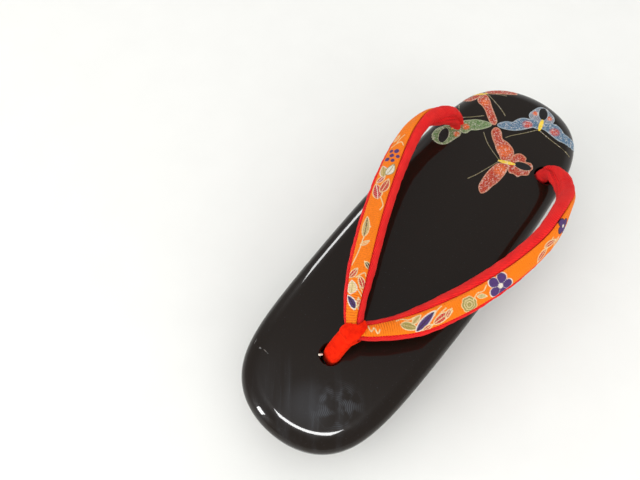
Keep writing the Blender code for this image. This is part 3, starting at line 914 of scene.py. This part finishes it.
def arm_sections(hole, bulge, rows, step):
    """Evenly spaced sections of one arm, from the apex to its end in the rear hole."""
    hole_x = hole.mouth.x
    side = math.copysign(1, hole_x)
    diagonal = 2 ** (1 / 2 - 1 / STRAP_SQUARENESS)
    plug = (HOLE_DIAMETER - 2 * GAP) / diagonal
    up, _, _ = hole_axes(hole)
    through = []
    for row in rows:
        at = dict(zip(ARM_COLUMNS, row))
        x = APEX_SIDE + (hole_x - APEX_SIDE) * at["along"] + side * bulge * at["bulge"]
        y = APEX_Y * (1 - at["along"])
        z = top_height(y) + STRAP_RISE * at["rise"]
        width = STRAP_WIDTH * at["width"]
        through.append((x, y, z, width, STRAP_THICKNESS * at["thickness"], at["roll"], at["along"]))
    last_roll = rows[-1][ARM_COLUMNS.index("roll")]
    for share in PLUG_SHARES:
        point = hole.mouth - up * PLUG_DEPTH * share
        through.append((*point, plug, plug, last_roll, 1.0))
    dense = np.array(through_rows(through, 60))
    runs = np.concatenate([[0], np.cumsum(np.linalg.norm(np.diff(dense[:, :3], axis=0), axis=1))])
    count = int(round(runs[-1] / step))
    even = np.linspace(0, runs[-1], count + 1)
    spaced = np.stack([np.interp(even, runs, dense[:, k]) for k in range(dense.shape[1])], axis=1)
    reach = max(2, round(0.0012 / step))
    sections = []
    for i, (x, y, z, width, thickness, roll, along) in enumerate(spaced):
        before = Vector(spaced[max(i - reach, 0)][:3])
        after = Vector(spaced[min(i + reach, count)][:3])
        ahead = (after - before).normalized()
        outward = Vector((side, 0, 0))
        outward = (outward - ahead * outward.dot(ahead)).normalized()
        upward = side * outward.cross(ahead)
        lean = math.radians(roll)
        face = upward * math.cos(lean) + outward * math.sin(lean)
        inward = upward * math.sin(lean) - outward * math.cos(lean)
        sections.append(Section(Vector((x, y, z)), ahead, inward, face, width, thickness, along, even[i]))
    return sections


def on_section(section, angle, grow=0.0):
    """A point of the band's rounded outline, angle 0 at its inner edge and 90 on its face."""
    power = 2 / STRAP_SQUARENESS
    cosine = math.cos(angle)
    sine = math.sin(angle)
    across = math.copysign(abs(cosine) ** power, cosine) * (section.width / 2 + grow)
    out = math.copysign(abs(sine) ** power, sine) * (section.thickness / 2 + grow)
    return section.centre + section.inward * across + section.face * out


def face_angles():
    """Where on the section the cover's inner and outer edges lie, at every width of the band."""
    power = STRAP_SQUARENESS / 2
    inner = math.acos((1 - 2 * COVER_FROM_INNER_EDGE / STRAP_WIDTH) ** power)
    outer = math.pi - math.acos((1 - 2 * COVER_FROM_OUTER_EDGE / STRAP_WIDTH) ** power)
    return inner, outer


def unevenness(point, size):
    """Soft unevenness between -1 and 1, the same in each run."""
    return noise.noise(Vector(point) / size)


def lining_grow(angle, section, last_run):
    """How far the padded lining stands out from the plain band at one place."""
    inner, outer = face_angles()
    start = fade(COVER_START - COVER_FADE, COVER_START, section.run)
    ahead = APEX_Y * (1 - section.along)
    end = 1 - fade(-COVER_AHEAD_OF_HOLE - COVER_FADE, -COVER_AHEAD_OF_HOLE, ahead)
    soft = COVER_EDGE_SOFTNESS
    inside = fade(inner - soft, inner + soft * 0.3, angle)
    inside *= 1 - fade(outer - soft * 0.3, outer + soft, angle)
    grow = -(COVER_THICKNESS + GAP) * inside * start * end

    # A groove along each seam
    seam = bell((angle - inner + SEAM_OUTSIDE_EDGE) / SEAM_WIDTH)
    seam += bell((angle - outer - SEAM_OUTSIDE_EDGE) / SEAM_WIDTH)
    grow -= SEAM_DEPTH * seam * start * end * (1 - inside)

    # A fold along the underside, deeper where the padding tightens towards its hole
    tight = fade(last_run * TIGHTENS, last_run * TIGHT, section.run)
    fold = bell((angle - FOLD_TURN) / (0.10 + 0.20 * tight))
    grow -= (FOLD_DEPTH + FOLD_DEEPENING * tight) * fold
    grow -= REAR_END_SLIMMING * fade(last_run * END_SLIMS, last_run * TIGHT, section.run)
    middle = fade(INNER_SLIMMING_STARTS, INNER_SLIMMING_FULL, section.run) * (1 - tight)
    grow -= INNER_SIDE_SLIMMING * max(math.cos(angle), 0) ** 2 * middle

    # Wrinkles
    crumple = unevenness((section.run, angle * 0.0028, 0.3), WRINKLE_SIZE)
    fine = unevenness((section.run, angle * 0.0040, 0.9), FINE_WRINKLE_SIZE)
    wrinkles = WRINKLE_DEPTH * (crumple + FINE_WRINKLE_SHARE * fine) * (1 + 1.4 * tight)
    return grow + (1 - inside) * wrinkles


def lining_arm(name, sections, finish):
    rings = []
    weave = []
    last_run = sections[-1].run
    for section in sections:
        ring = []
        for angle in even_turns(BAND_SIDES):
            turn = (angle - WEAVE_SEAM) % (2 * math.pi)
            ring.append(on_section(section, angle, lining_grow(angle, section, last_run)))
            weave.append((section.run, turn / (2 * math.pi) * GIRTH_IN_WIDTHS * STRAP_WIDTH, 0))
        rings.append(ring)
    band = loft(name, rings, finish)
    set_vectors(band.data, "weave", weave)
    return band


def covered(sections):
    ahead = [APEX_Y * (1 - s.along) for s in sections]
    return [s for s, y in zip(sections, ahead) if s.run > COVER_START and y < -COVER_AHEAD_OF_HOLE]


def gathers(run, across):
    """Height of the cloth's fine cross gathers, strongest where the toe loop draws it in, and a share by
    which the print is lightened on their crests and darkened in their troughs as painted shade.
    """
    slide = 0.9 * math.sin(run / 0.0031 + across / 0.0016) + 1.1 * unevenness((run, across, 0), 0.004)
    fold = math.sin(2 * math.pi * run / GATHER_PITCH + slide)
    eased = fade(GATHERS_END * GATHERS_EASE, GATHERS_END, run)
    strength = GATHERS_LEAST + (1 - GATHERS_LEAST) * (1 - eased)
    patchy = 0.75 + 0.5 * unevenness((run, across, 0.5), 0.006)
    return GATHER_DEPTH * fold * strength * patchy, fold * strength


def cover(name, sections, chart, shift, finish):
    """The printed strip: a thin solid, crowned across and tucked in at its seams, its print darkened in the
    troughs of its gathers and lightened on their crests as painted shade.
    """
    inner, outer = face_angles()
    rings = []
    weave = []
    painted_fold_shades = []
    for section in covered(sections):
        margin = 2 * GAP / section.width
        start = inner + margin
        end = outer - margin
        middle = on_section(section, start).lerp(on_section(section, end), 0.5)
        ring = []
        for i in range(COVER_COLUMNS + 1):
            angle = start + (end - start) * i / COVER_COLUMNS
            edge = abs(2 * i / COVER_COLUMNS - 1)
            across = (middle - on_section(section, angle)).dot(section.inward)
            fold, fold_shade_share = gathers(section.run, across)
            grow = COVER_CROWN * (1 - edge**2) - COVER_TUCK * edge**8 + fold * (1 - edge**6)
            grow += COVER_UNEVENNESS * unevenness((section.run, across, 0.2), 0.007) * (1 - edge**4)
            ring.append(on_section(section, angle, grow))
            weave.append((section.run, across, 0))
            painted_fold_shades.append(fold_shade_share)
        for i in range(COVER_BACK_COLUMNS, -1, -1):
            angle = start + (end - start) * i / COVER_BACK_COLUMNS
            across = (middle - on_section(section, angle)).dot(section.inward)
            ring.append(on_section(section, angle, -COVER_THICKNESS))
            weave.append((section.run, across, 0))
            painted_fold_shades.append(0)
        rings.append(ring)
    strip = loft(name, rings, finish)
    weave = np.array(weave)
    # Painted shade: the print is darker in the troughs of the gathers and lighter on their crests
    tone = printed(weave[:, :2] / MM + shift, chart) * (0.94 + 0.13 * np.array(painted_fold_shades))[:, None]
    set_vectors(strip.data, "weave", weave)
    set_colours(strip.data, "print", tone)
    return strip


# Cloth print


def turned(places, run, across, turn):
    """Places seen from a motif's middle, along its own direction and across it."""
    angle = math.radians(turn)
    away = places - (run, across)
    along = away[:, 0] * math.cos(angle) + away[:, 1] * math.sin(angle)
    aside = -away[:, 0] * math.sin(angle) + away[:, 1] * math.cos(angle)
    return along, aside


def lay(tone, colour, amount):
    share = np.clip(amount, 0, 1)[:, None]
    return tone * (1 - share) + np.array(INKS[colour]) * share


def leaf_ink(tone, places, leaf):
    along, aside = turned(places, leaf.run, leaf.across, leaf.turn)
    share = np.clip(along / leaf.length + 0.5, 0, 1)
    half = leaf.width * 0.5 * np.sin(math.pi * share**0.8) ** 0.75
    aside = np.abs(aside - 0.35 * leaf.width * (share - 0.5) ** 2)
    gap = half - aside
    inside = np.abs(along) < leaf.length / 2
    tone = lay(tone, leaf.fill, smoothstep(-0.1, 0.12, gap) * inside)
    slanted = (along - aside * 1.1) % 1.35
    veins = (1 - smoothstep(0.10, 0.26, np.minimum(slanted, 1.35 - slanted))) * (gap > 0.3)
    tone = lay(tone, leaf.vein, 0.35 * veins * inside)
    tone = lay(tone, leaf.vein, (1 - smoothstep(0.10, 0.24, aside)) * (gap > 0.1) * inside)
    near = np.abs(along) < leaf.length / 2 + 0.3
    return lay(tone, leaf.edge, (1 - smoothstep(0.14, 0.34, np.abs(gap))) * near)


def flower_ink(tone, places, flower):
    along, aside = turned(places, flower.run, flower.across, flower.turn)
    radius = np.hypot(along, aside)
    lobes = np.abs(np.cos(flower.petals * np.arctan2(aside, along) / 2))
    rim = flower.radius * (0.55 + 0.45 * lobes**0.55)
    tone = lay(tone, flower.fill, smoothstep(-0.1, 0.12, rim - radius))
    rays = (1 - smoothstep(0.10, 0.30, lobes * radius)) * (radius < rim)
    tone = lay(tone, flower.edge, 0.9 * rays)
    tone = lay(tone, flower.edge, 1 - smoothstep(0.16, 0.36, np.abs(rim - radius)))
    return lay(tone, flower.heart, 1 - smoothstep(flower.radius * 0.16, flower.radius * 0.24, radius))


def fan_ink(tone, places, fan):
    along, aside = turned(places, fan.run, fan.across, 0)
    radius = np.hypot(along, aside)
    angle = fan.lobes * np.arctan2(along, aside) / 2
    rim = fan.radius * (0.88 + 0.12 * np.abs(np.cos(angle)))
    tone = lay(tone, fan.fill, smoothstep(-0.1, 0.12, rim - radius))
    for share in (0.36, 0.66, 1.0):
        tone = lay(tone, fan.edge, 0.85 * (1 - smoothstep(0.12, 0.30, np.abs(rim * share - radius))))
    spokes = np.abs(np.sin(angle)) * radius
    return lay(tone, fan.edge, 0.6 * (1 - smoothstep(0.08, 0.24, spokes)) * (radius < rim))


def spot_ink(tone, places, spot):
    away = np.linalg.norm(places - (spot.run, spot.across), axis=1)
    return lay(tone, spot.fill, 1 - smoothstep(spot.radius - 0.15, spot.radius + 0.1, away))


def stroke_ink(tone, places, stroke):
    away = distance_to_line(places, through_rows(stroke.points, 6))
    return lay(tone, stroke.fill, 1 - smoothstep(stroke.width * 0.4, stroke.width * 0.75, away))


INK_OF = {Leaf: leaf_ink, Flower: flower_ink, Fan: fan_ink, Spot: spot_ink, Stroke: stroke_ink}


def printed(places, chart):
    """The cloth's colour at each place, run and across in millimetres."""
    tone = np.tile(INKS["orange"], (len(places), 1)).astype(float)
    for motif in chart:
        tone = INK_OF[type(motif)](tone, places, motif)
    return tone


# Toe loop


def squashed_ring(centre, across, up, width, height, count, power):
    """A rounded ring. Its power is 1 for an ellipse and less for squarer corners."""
    ring = []
    for angle in even_turns(count):
        cosine = math.cos(angle)
        sine = math.sin(angle)
        x = math.copysign(abs(cosine) ** power, cosine) * width / 2
        z = math.copysign(abs(sine) ** power, sine) * height / 2
        ring.append(centre + across * x + up * z)
    return ring


def toe_loop(arms, finish):
    apex_row = dict(zip(ARM_COLUMNS, LATERAL_ROWS[0]))
    apex = Vector((APEX_SIDE, APEX_Y, top_height(APEX_Y) + STRAP_RISE * apex_row["rise"]))
    mouth = strap_holes()["toe"].mouth
    back = Vector((apex.x - mouth.x, apex.y - mouth.y, 0)).normalized()
    across = Vector((back.y, -back.x, 0))
    up = Vector((0, 0, 1))
    height = STRAP_THICKNESS * apex_row["thickness"] + 2 * (LOOP_WALL + GAP)
    front = apex - back * LOOP_AHEAD_OF_APEX
    rings = []
    for along, width, tall in through_rows(WRAP_ROWS, 6):
        centre = front + back * LOOP_LENGTH * along
        size = (LOOP_WIDTH * width, height * tall)
        rings.append(squashed_ring(centre, across, up, *size, LOOP_SIDES, WRAP_SQUARENESS))
    wrap = loft("toe_loop_velvet", rings)
    low = mouth - up * HOLE_CHAMFER + back * STEM_SET_BACK
    route = [tuple(mouth - up * PLUG_DEPTH)]
    for row in STEM_ROWS:
        at = dict(zip(STEM_COLUMNS, row))
        point = low.lerp(apex - back * STEM_END_AHEAD_OF_APEX, at["along"])
        point.z = low.z + (apex.z - low.z) * at["rise"]
        route.append(tuple(point))
    samples = [Vector(point) for point in through_rows(route, 10)]
    stem_rings = []
    for i, centre in enumerate(samples):
        ahead = (samples[min(i + 1, len(samples) - 1)] - samples[max(i - 1, 0)]).normalized()
        lift = across.cross(ahead)
        size = (STEM_WIDTH, STEM_THICKNESS)
        stem_rings.append(squashed_ring(centre, across, lift, *size, LOOP_SIDES, STEM_SQUARENESS))
    cut(wrap, loft("stem", stem_rings), "UNION")
    for sections in arms.values():
        near = [s for s in sections if s.run < 2 * LOOP_LENGTH][::4]
        first = near[0]
        near[0] = first._replace(centre=first.centre - first.ahead * (CLEARANCE_AHEAD + GAP))
        turns = even_turns(CLEARANCE_SIDES)
        rings = [[on_section(section, turn, 2 * GAP) for turn in turns] for section in near]
        cut(wrap, loft("clearance", rings))
    remesh = wrap.modifiers.new("Remesh", "REMESH")
    remesh.mode = "VOXEL"
    remesh.voxel_size = LOOP_VOXEL
    smooth = wrap.modifiers.new("Smooth", "SMOOTH")
    smooth.iterations = 5
    smooth.factor = 0.6
    apply_modifiers(wrap)
    wrap.data.materials.clear()
    wrap.data.materials.append(finish)
    wrap.data.shade_smooth()
    return wrap


def thread_end(finish):
    """A frayed end of white sewing thread that peeps out beside the loop's stem."""
    mouth = strap_holes()["toe"].mouth
    start = mouth + THREAD_START
    end = mouth + THREAD_TIP
    ahead = (end - start).normalized()
    left = ahead.orthogonal().normalized()
    over = left.cross(ahead)
    rings = []
    for share, radius in THREAD_ROWS:
        centre = start.lerp(end, share)
        rings.append(squashed_ring(centre, left, over, 2 * radius, 2 * radius, THREAD_SIDES, 1.0))
    return loft("thread_end", rings, finish)


# Cords and knots


def rope(name, points, diameter, closed, finish):
    """A laid cord of a few strands along a route."""
    count = len(points)
    rings = []
    run = 0.0
    normal = None
    for i, point in enumerate(points):
        after = points[(i + 1) % count] if closed else points[min(i + 1, count - 1)]
        before = points[i - 1] if closed or i else point
        ahead = (after - before).normalized()
        if normal is None:
            normal = ahead.orthogonal().normalized()
        normal = (normal - ahead * normal.dot(ahead)).normalized()
        aside = ahead.cross(normal)
        if i:
            run += (point - points[i - 1]).length
        ring = []
        for angle in even_turns(ROPE_SIDES):
            strand = math.cos(CORD_STRANDS * (angle - 2 * math.pi * run / CORD_LAY))
            swell = 1 - STRAND_SWELL + STRAND_SWELL * strand
            ring.append(point + (normal * math.cos(angle) + aside * math.sin(angle)) * diameter / 2 * swell)
        rings.append(ring)
    return loft(name, rings, finish, closed)


def knot(name, hole, finish):
    """A cord down from the strap, tied in a knot in the recess under the base."""
    up, side, along = hole_axes(hole)
    middle = hole.mouth - up * (hole.length + GAP + KNOT_HEIGHT / 2)
    reach = (KNOT_DIAMETER - KNOT_CORD) / 2
    lift = (KNOT_HEIGHT - KNOT_CORD) / 2
    points = []
    for t in even_turns(KNOT_STEPS):
        x = (math.sin(t) + 2 * math.sin(2 * t)) / 3
        y = (math.cos(t) - 2 * math.cos(2 * t)) / 3
        points.append(middle + side * x * reach + along * y * reach - up * math.sin(3 * t) * lift)
    tied = rope(name, points, KNOT_CORD, True, finish)
    top = hole.mouth - up * (PLUG_DEPTH + GAP)
    straight = [top.lerp(middle, i / CORD_STEPS) for i in range(CORD_STEPS + 1)]
    cord = rope(name + "_cord", straight, CORD_DIAMETER, False, finish)
    with bpy.context.temp_override(active_object=tied, selected_editable_objects=[tied, cord]):
        bpy.ops.object.join()
    return tied


# Materials


def node(tree, kind, inputs=None, **settings):
    """Adds a shader node, with numbers set on its sockets and other nodes' outputs linked."""
    made = tree.nodes.new("ShaderNode" + kind)
    for name, value in settings.items():
        setattr(made, name, value)
    for key, value in (inputs or {}).items():
        if isinstance(value, bpy.types.NodeSocket):
            tree.links.new(value, made.inputs[key])
        else:
            made.inputs[key].default_value = value
    return made


def material(name, **constants):
    """A new material, its tree and its shader, with the shader's constant values set."""
    made = bpy.data.materials.new(name)
    made.use_nodes = True
    shader = made.node_tree.nodes["Principled BSDF"]
    for key, value in constants.items():
        shader.inputs[key.replace("_", " ")].default_value = value
    return made, made.node_tree, shader


def maths(tree, operation, first, second=0.0, third=0.0):
    return node(tree, "Math", {0: first, 1: second, 2: third}, operation=operation).outputs[0]


def times(tree, first, second):
    return maths(tree, "MULTIPLY", first, second)


def scaled(tree, value, factor, offset):
    return maths(tree, "MULTIPLY_ADD", value, factor, offset)


def ramp(tree, value, low, high, bottom=0.0, top=1.0):
    inputs = {"Value": value, "From Min": low, "From Max": high, "To Min": bottom, "To Max": top}
    return node(tree, "MapRange", inputs, interpolation_type="SMOOTHSTEP").outputs["Result"]


def mix_colour(tree, share, first, second, blend="MIX"):
    inputs = {0: share, 6: first, 7: second}
    return node(tree, "Mix", inputs, data_type="RGBA", blend_type=blend).outputs[2]


def place_of(tree):
    return node(tree, "TexCoord").outputs["Object"]


def grain(tree, place, scale, detail=2.0, roughness=0.5):
    inputs = {"Vector": place, "Scale": scale, "Detail": detail, "Roughness": roughness}
    return node(tree, "TexNoise", inputs).outputs["Fac"]


def bumped(tree, shader, height, distance):
    made = node(tree, "Bump", {"Height": height, "Distance": distance, "Strength": 1.0})
    tree.links.new(made.outputs["Normal"], shader.inputs["Normal"])


def coloured(tree, shader, colour):
    tree.links.new(colour, shader.inputs["Base Color"])


def distance_on_plan(tree, place, x, y):
    shifted = node(tree, "Mapping", {"Vector": place, "Location": (-x, -y, 0), "Scale": (1, 1, 0)})
    return node(tree, "VectorMath", {0: shifted.outputs["Vector"]}, operation="LENGTH").outputs["Value"]


def lacquer():
    """Deep black gloss under a clear coat, with wiping streaks and a hazy veil near the toe, painted lighter:
    partly real wear, partly painted reflected light.
    """
    made, tree, shader = material(
        "black_lacquer", Coat_Weight=1.0, Coat_Roughness=0.03, Coat_IOR=1.3, Specular_IOR_Level=0.04)
    place = place_of(tree)
    # Near the toe the base colour is lightened in streaks: partly real wiping wear, partly painted reflected
    # light
    away = distance_on_plan(tree, place, *HAZE_AND_GLOW_PLACE)
    toe = ramp(tree, away, 0.036, 0.008, 0.0, 0.6)
    wiped = {"Vector": place, "Rotation": (0, 0, WIPING_TURN), "Scale": (1, WIPING_STRETCH, 1)}
    swept = node(tree, "Mapping", wiped, vector_type="TEXTURE").outputs["Vector"]
    streaks = ramp(tree, grain(tree, swept, 900, 3, 0.65), 0.50, 0.74)
    broad = ramp(tree, grain(tree, swept, 140, 2), 0.42, 0.66)
    veil = times(tree, scaled(tree, streaks, 0.6, 0.25), broad)
    haze_and_painted_glow = times(tree, veil, toe)
    # Painted reflected light: a soft lighter patch round one place by the toe
    painted_glow = times(tree, ramp(tree, away, 0.014, 0.002), 0.28)
    haze_and_painted_glow = maths(tree, "ADD", haze_and_painted_glow, painted_glow)
    from_rub = distance_on_plan(tree, place, *RUB_PLACE)
    rings = maths(tree, "SINE", times(tree, from_rub, 2 * math.pi / RUB_PITCH))
    patches = ramp(tree, grain(tree, place, 190, 2), 0.42, 0.66)
    ragged = times(tree, patches, ramp(tree, from_rub, 0.014, 0.005))
    rubbed = times(tree, scaled(tree, rings, 0.4, 0.5), ragged)
    dust = ramp(tree, grain(tree, place, 2600, 0), 0.80, 0.86)
    marks_and_painted_glow = scaled(tree, dust, 0.5, maths(tree, "ADD", haze_and_painted_glow, rubbed))
    coloured(tree, shader, mix_colour(tree, marks_and_painted_glow, BLACK_LACQUER, HAZE_AND_GLOW_LACQUER))
    tree.links.new(scaled(tree, marks_and_painted_glow, 0.2, 0.30), shader.inputs["Roughness"])
    bumped(tree, shader, grain(tree, place, 55, 1), 0.00006)
    return made


def thread_ridges(tree, weave, pitch, turn):
    """Ridges of one set of threads, turned from the strap's run by an angle in degrees."""
    turned_weave = node(tree, "Mapping", {"Vector": weave, "Rotation": (0, 0, math.radians(turn))})
    along = node(tree, "SeparateXYZ", {"Vector": turned_weave.outputs["Vector"]}).outputs["X"]
    wave = maths(tree, "SINE", times(tree, along, 2 * math.pi / pitch))
    return scaled(tree, wave, 0.5, 0.5)


def stored(tree, name):
    return node(tree, "Attribute", attribute_name=name, attribute_type="GEOMETRY").outputs


def lining_cloth():
    """Red cotton twill with fine slanting ribs, darker in their grooves as painted shade, and a soft bloom.
    """
    made, tree, shader = material(
        "red_lining", Roughness=0.85, Specular_IOR_Level=0.10, Sheen_Weight=0.10, Sheen_Roughness=0.45,
        Sheen_Tint=(1.0, 0.35, 0.30, 1))
    ribs = thread_ridges(tree, stored(tree, "weave")["Vector"], 0.00085, 52)
    fuzz = grain(tree, place_of(tree), 2600, 2, 0.6)
    patches = ramp(tree, grain(tree, place_of(tree), 160, 2), 0.3, 0.7, 0.0, 0.35)
    # Painted shade: the red is darker in the grooves between the ribs
    ribs_with_painted_shade = mix_colour(tree, ribs, (0.56, 0.008, 0.009, 1), (0.86, 0.014, 0.016, 1))
    coloured(tree, shader, mix_colour(tree, patches, ribs_with_painted_shade, (0.90, 0.030, 0.020, 1)))
    bumped(tree, shader, scaled(tree, ribs, 0.7, times(tree, fuzz, 0.6)), 0.00030)
    return made


def crepe():
    """Printed silk-like crepe: the print is on the mesh, the fine crossing threads are here, with painted
    shade between them.
    """
    made, tree, shader = material(
        "orange_crepe", Roughness=0.65, Specular_IOR_Level=0.10, Sheen_Weight=0.03, Sheen_Roughness=0.4)
    weave = stored(tree, "weave")["Vector"]
    weft = thread_ridges(tree, weave, 0.00046, 8)
    warp = thread_ridges(tree, weave, 0.00040, 96)
    threads = times(tree, weft, warp)
    uneven = grain(tree, place_of(tree), 1500, 2, 0.6)
    # Painted shade: darker between the crossing threads, with random unevenness in tone on top
    shade = scaled(tree, threads, 0.18, 0.87)
    shade = times(tree, shade, ramp(tree, uneven, 0.25, 0.75, 0.90, 1.08))
    painted_thread_shade = node(tree, "CombineColor", {"Red": shade, "Green": shade, "Blue": shade}).outputs["Color"]
    coloured(tree, shader, mix_colour(tree, 1.0, stored(tree, "print")["Color"], painted_thread_shade, "MULTIPLY"))
    bumped(tree, shader, scaled(tree, threads, 0.6, times(tree, uneven, 0.7)), 0.00016)
    return made


def velvet():
    """Scarlet velvet: a short thick pile that lies in patches and glows at grazing angles."""
    made, tree, shader = material(
        "scarlet_velvet", Roughness=0.95, Specular_IOR_Level=0.03, Sheen_Weight=0.22, Sheen_Roughness=0.35,
        Sheen_Tint=(1.0, 0.16, 0.04, 1))
    pile = grain(tree, place_of(tree), 3400, 2, 0.7)
    lean = times(tree, grain(tree, place_of(tree), 330, 2), 0.65)
    share = ramp(tree, scaled(tree, pile, 0.5, lean), 0.30, 0.80)
    coloured(tree, shader, mix_colour(tree, share, (0.62, 0.009, 0.002, 1), (0.88, 0.022, 0.003, 1)))
    bumped(tree, shader, scaled(tree, pile, 0.6, lean), 0.00035)
    return made


def hemp():
    made, tree, shader = material("hemp_cord", Roughness=0.9, Specular_IOR_Level=0.15)
    fibres = grain(tree, place_of(tree), 2400, 3, 0.7)
    share = ramp(tree, fibres, 0.3, 0.7)
    coloured(tree, shader, mix_colour(tree, share, (0.42, 0.34, 0.23, 1), (0.70, 0.62, 0.48, 1)))
    bumped(tree, shader, fibres, 0.0003)
    return made


def glitter_paint():
    """Thick paint with fine glitter, for the butterflies."""
    made, tree, shader = material("glitter_paint", Specular_IOR_Level=0.2)
    cells = node(tree, "TexVoronoi", {"Vector": place_of(tree), "Scale": 1700.0})
    flake = node(tree, "SeparateXYZ", {"Vector": cells.outputs["Color"]}).outputs["X"]
    ink = stored(tree, "paint")["Color"]
    painted = ramp(tree, node(tree, "SeparateColor", {"Color": ink}).outputs["Green"], 0.012, 0.03)
    shine = times(tree, times(tree, ramp(tree, flake, 0.80, 0.88), 0.50), painted)
    coloured(tree, shader, mix_colour(tree, shine, ink, (0.70, 0.62, 0.56, 1)))
    tree.links.new(ramp(tree, flake, 0.0, 1.0, 0.65, 0.30), shader.inputs["Roughness"])
    bumped(tree, shader, flake, 0.00006)
    return made


def plain(name, colour, roughness, scale, depth):
    """A simple finish with a little unevenness in tone and surface."""
    made, tree, shader = material(name, Roughness=roughness, Specular_IOR_Level=0.2)
    uneven = grain(tree, place_of(tree), scale, 2)
    dark = (*[c * 0.96 for c in colour], 1)
    coloured(tree, shader, mix_colour(tree, uneven, dark, (*colour, 1)))
    bumped(tree, shader, uneven, depth)
    return made


# Stage


def stage():
    bpy.ops.mesh.primitive_plane_add(size=FLOOR_SIZE, location=(0, 0, 0))
    floor = bpy.context.object
    floor.name = "floor"
    floor.data.materials.append(plain("floor", FLOOR_COLOUR, 0.85, 40, 0.0001))


def add_light(light):
    data = bpy.data.lights.new(light.name, "AREA")
    data.shape = "RECTANGLE"
    data.size = light.width
    data.size_y = light.depth
    data.energy = light.power
    obj = add_object(light.name, data)
    aim(obj, light.place, LIT_PLACE)
    if light.turn is not None:
        obj.rotation_euler = (0, 0, math.radians(light.turn))
    obj.visible_glossy = light.role == "highlight"
    obj.visible_diffuse = light.role == "fill"


def studio():
    """A room that is dim overhead and towards the toe, with a bright wall beyond the heel."""
    world = bpy.data.worlds.new("studio")
    bpy.context.scene.world = world
    world.use_nodes = True
    tree = world.node_tree
    direction = node(tree, "TexCoord").outputs["Generated"]
    parts = node(tree, "SeparateXYZ", {"Vector": direction}).outputs
    low = ramp(tree, parts["Z"], 0.66, 0.50)
    beyond = ramp(tree, parts["Y"], 0.45, 0.85, 0.03, 1.0)
    share = times(tree, low, beyond)
    colour = mix_colour(tree, share, (0.58, 0.58, 0.58, 1), (1.05, 1.05, 1.05, 1))
    tree.links.new(colour, tree.nodes["Background"].inputs["Color"])
    for light in LIGHTS:
        add_light(light)


def camera():
    data = bpy.data.cameras.new("camera")
    data.lens = CAMERA_LENS
    data.sensor_width = 36
    data.clip_start = 0.01
    obj = add_object("camera", data)
    aim(obj, CAMERA_PLACE, CAMERA_TARGET)
    bpy.context.scene.camera = obj


def settle(piece, slot, *nodes):
    """Rides a piece on the only body, and hides the imported nodes that it stands for. Its slot is not used.
    """
    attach(piece, "root")
    if nodes:
        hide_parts(*nodes)


def main():
    camera()
    stage()
    studio()
    bpy.context.scene.view_settings.view_transform = "Standard"
    settle(lacquered_base(lacquer()), "black_lacquer", "base")

    paint = glitter_paint()
    for design in BUTTERFLIES:
        settle(butterfly(design, paint), "black_lacquer")
    settle(hairlines(paint), "black_lacquer")

    holes = strap_holes()
    arms = {
        "lateral": (holes["lateral"], LATERAL_BULGE, LATERAL_ROWS),
        "medial": (holes["medial"], MEDIAL_BULGE, MEDIAL_ROWS),
    }
    charts = {
        "lateral": (LATERAL_PRINT, LATERAL_PRINT_SHIFT),
        "medial": (MEDIAL_PRINT, MEDIAL_PRINT_SHIFT),
    }
    red = lining_cloth()
    printed_cloth = crepe()
    coarse = {}
    for name, shape in arms.items():
        coarse[name] = arm_sections(*shape, LINING_STEP)
        band = lining_arm("strap_lining_" + name, coarse[name], red)
        settle(band, "red_lining", "strap_lining")
        fine = arm_sections(*shape, COVER_STEP)
        strip = cover("strap_cover_crepe_" + name, fine, *charts[name], printed_cloth)
        settle(strip, "orange_crepe", "strap_cover_" + name)
    loop = toe_loop(coarse, velvet())
    settle(loop, "scarlet_velvet", "toe_loop")
    thread = plain("sewing_thread", THREAD_COLOUR, 0.9, 900, 0.0001)
    settle(thread_end(thread), "hemp_cord")
    cord = hemp()
    for name, hole in holes.items():
        settle(knot(name + "_knot_hemp", hole, cord), "hemp_cord", name + "_knot")


main()
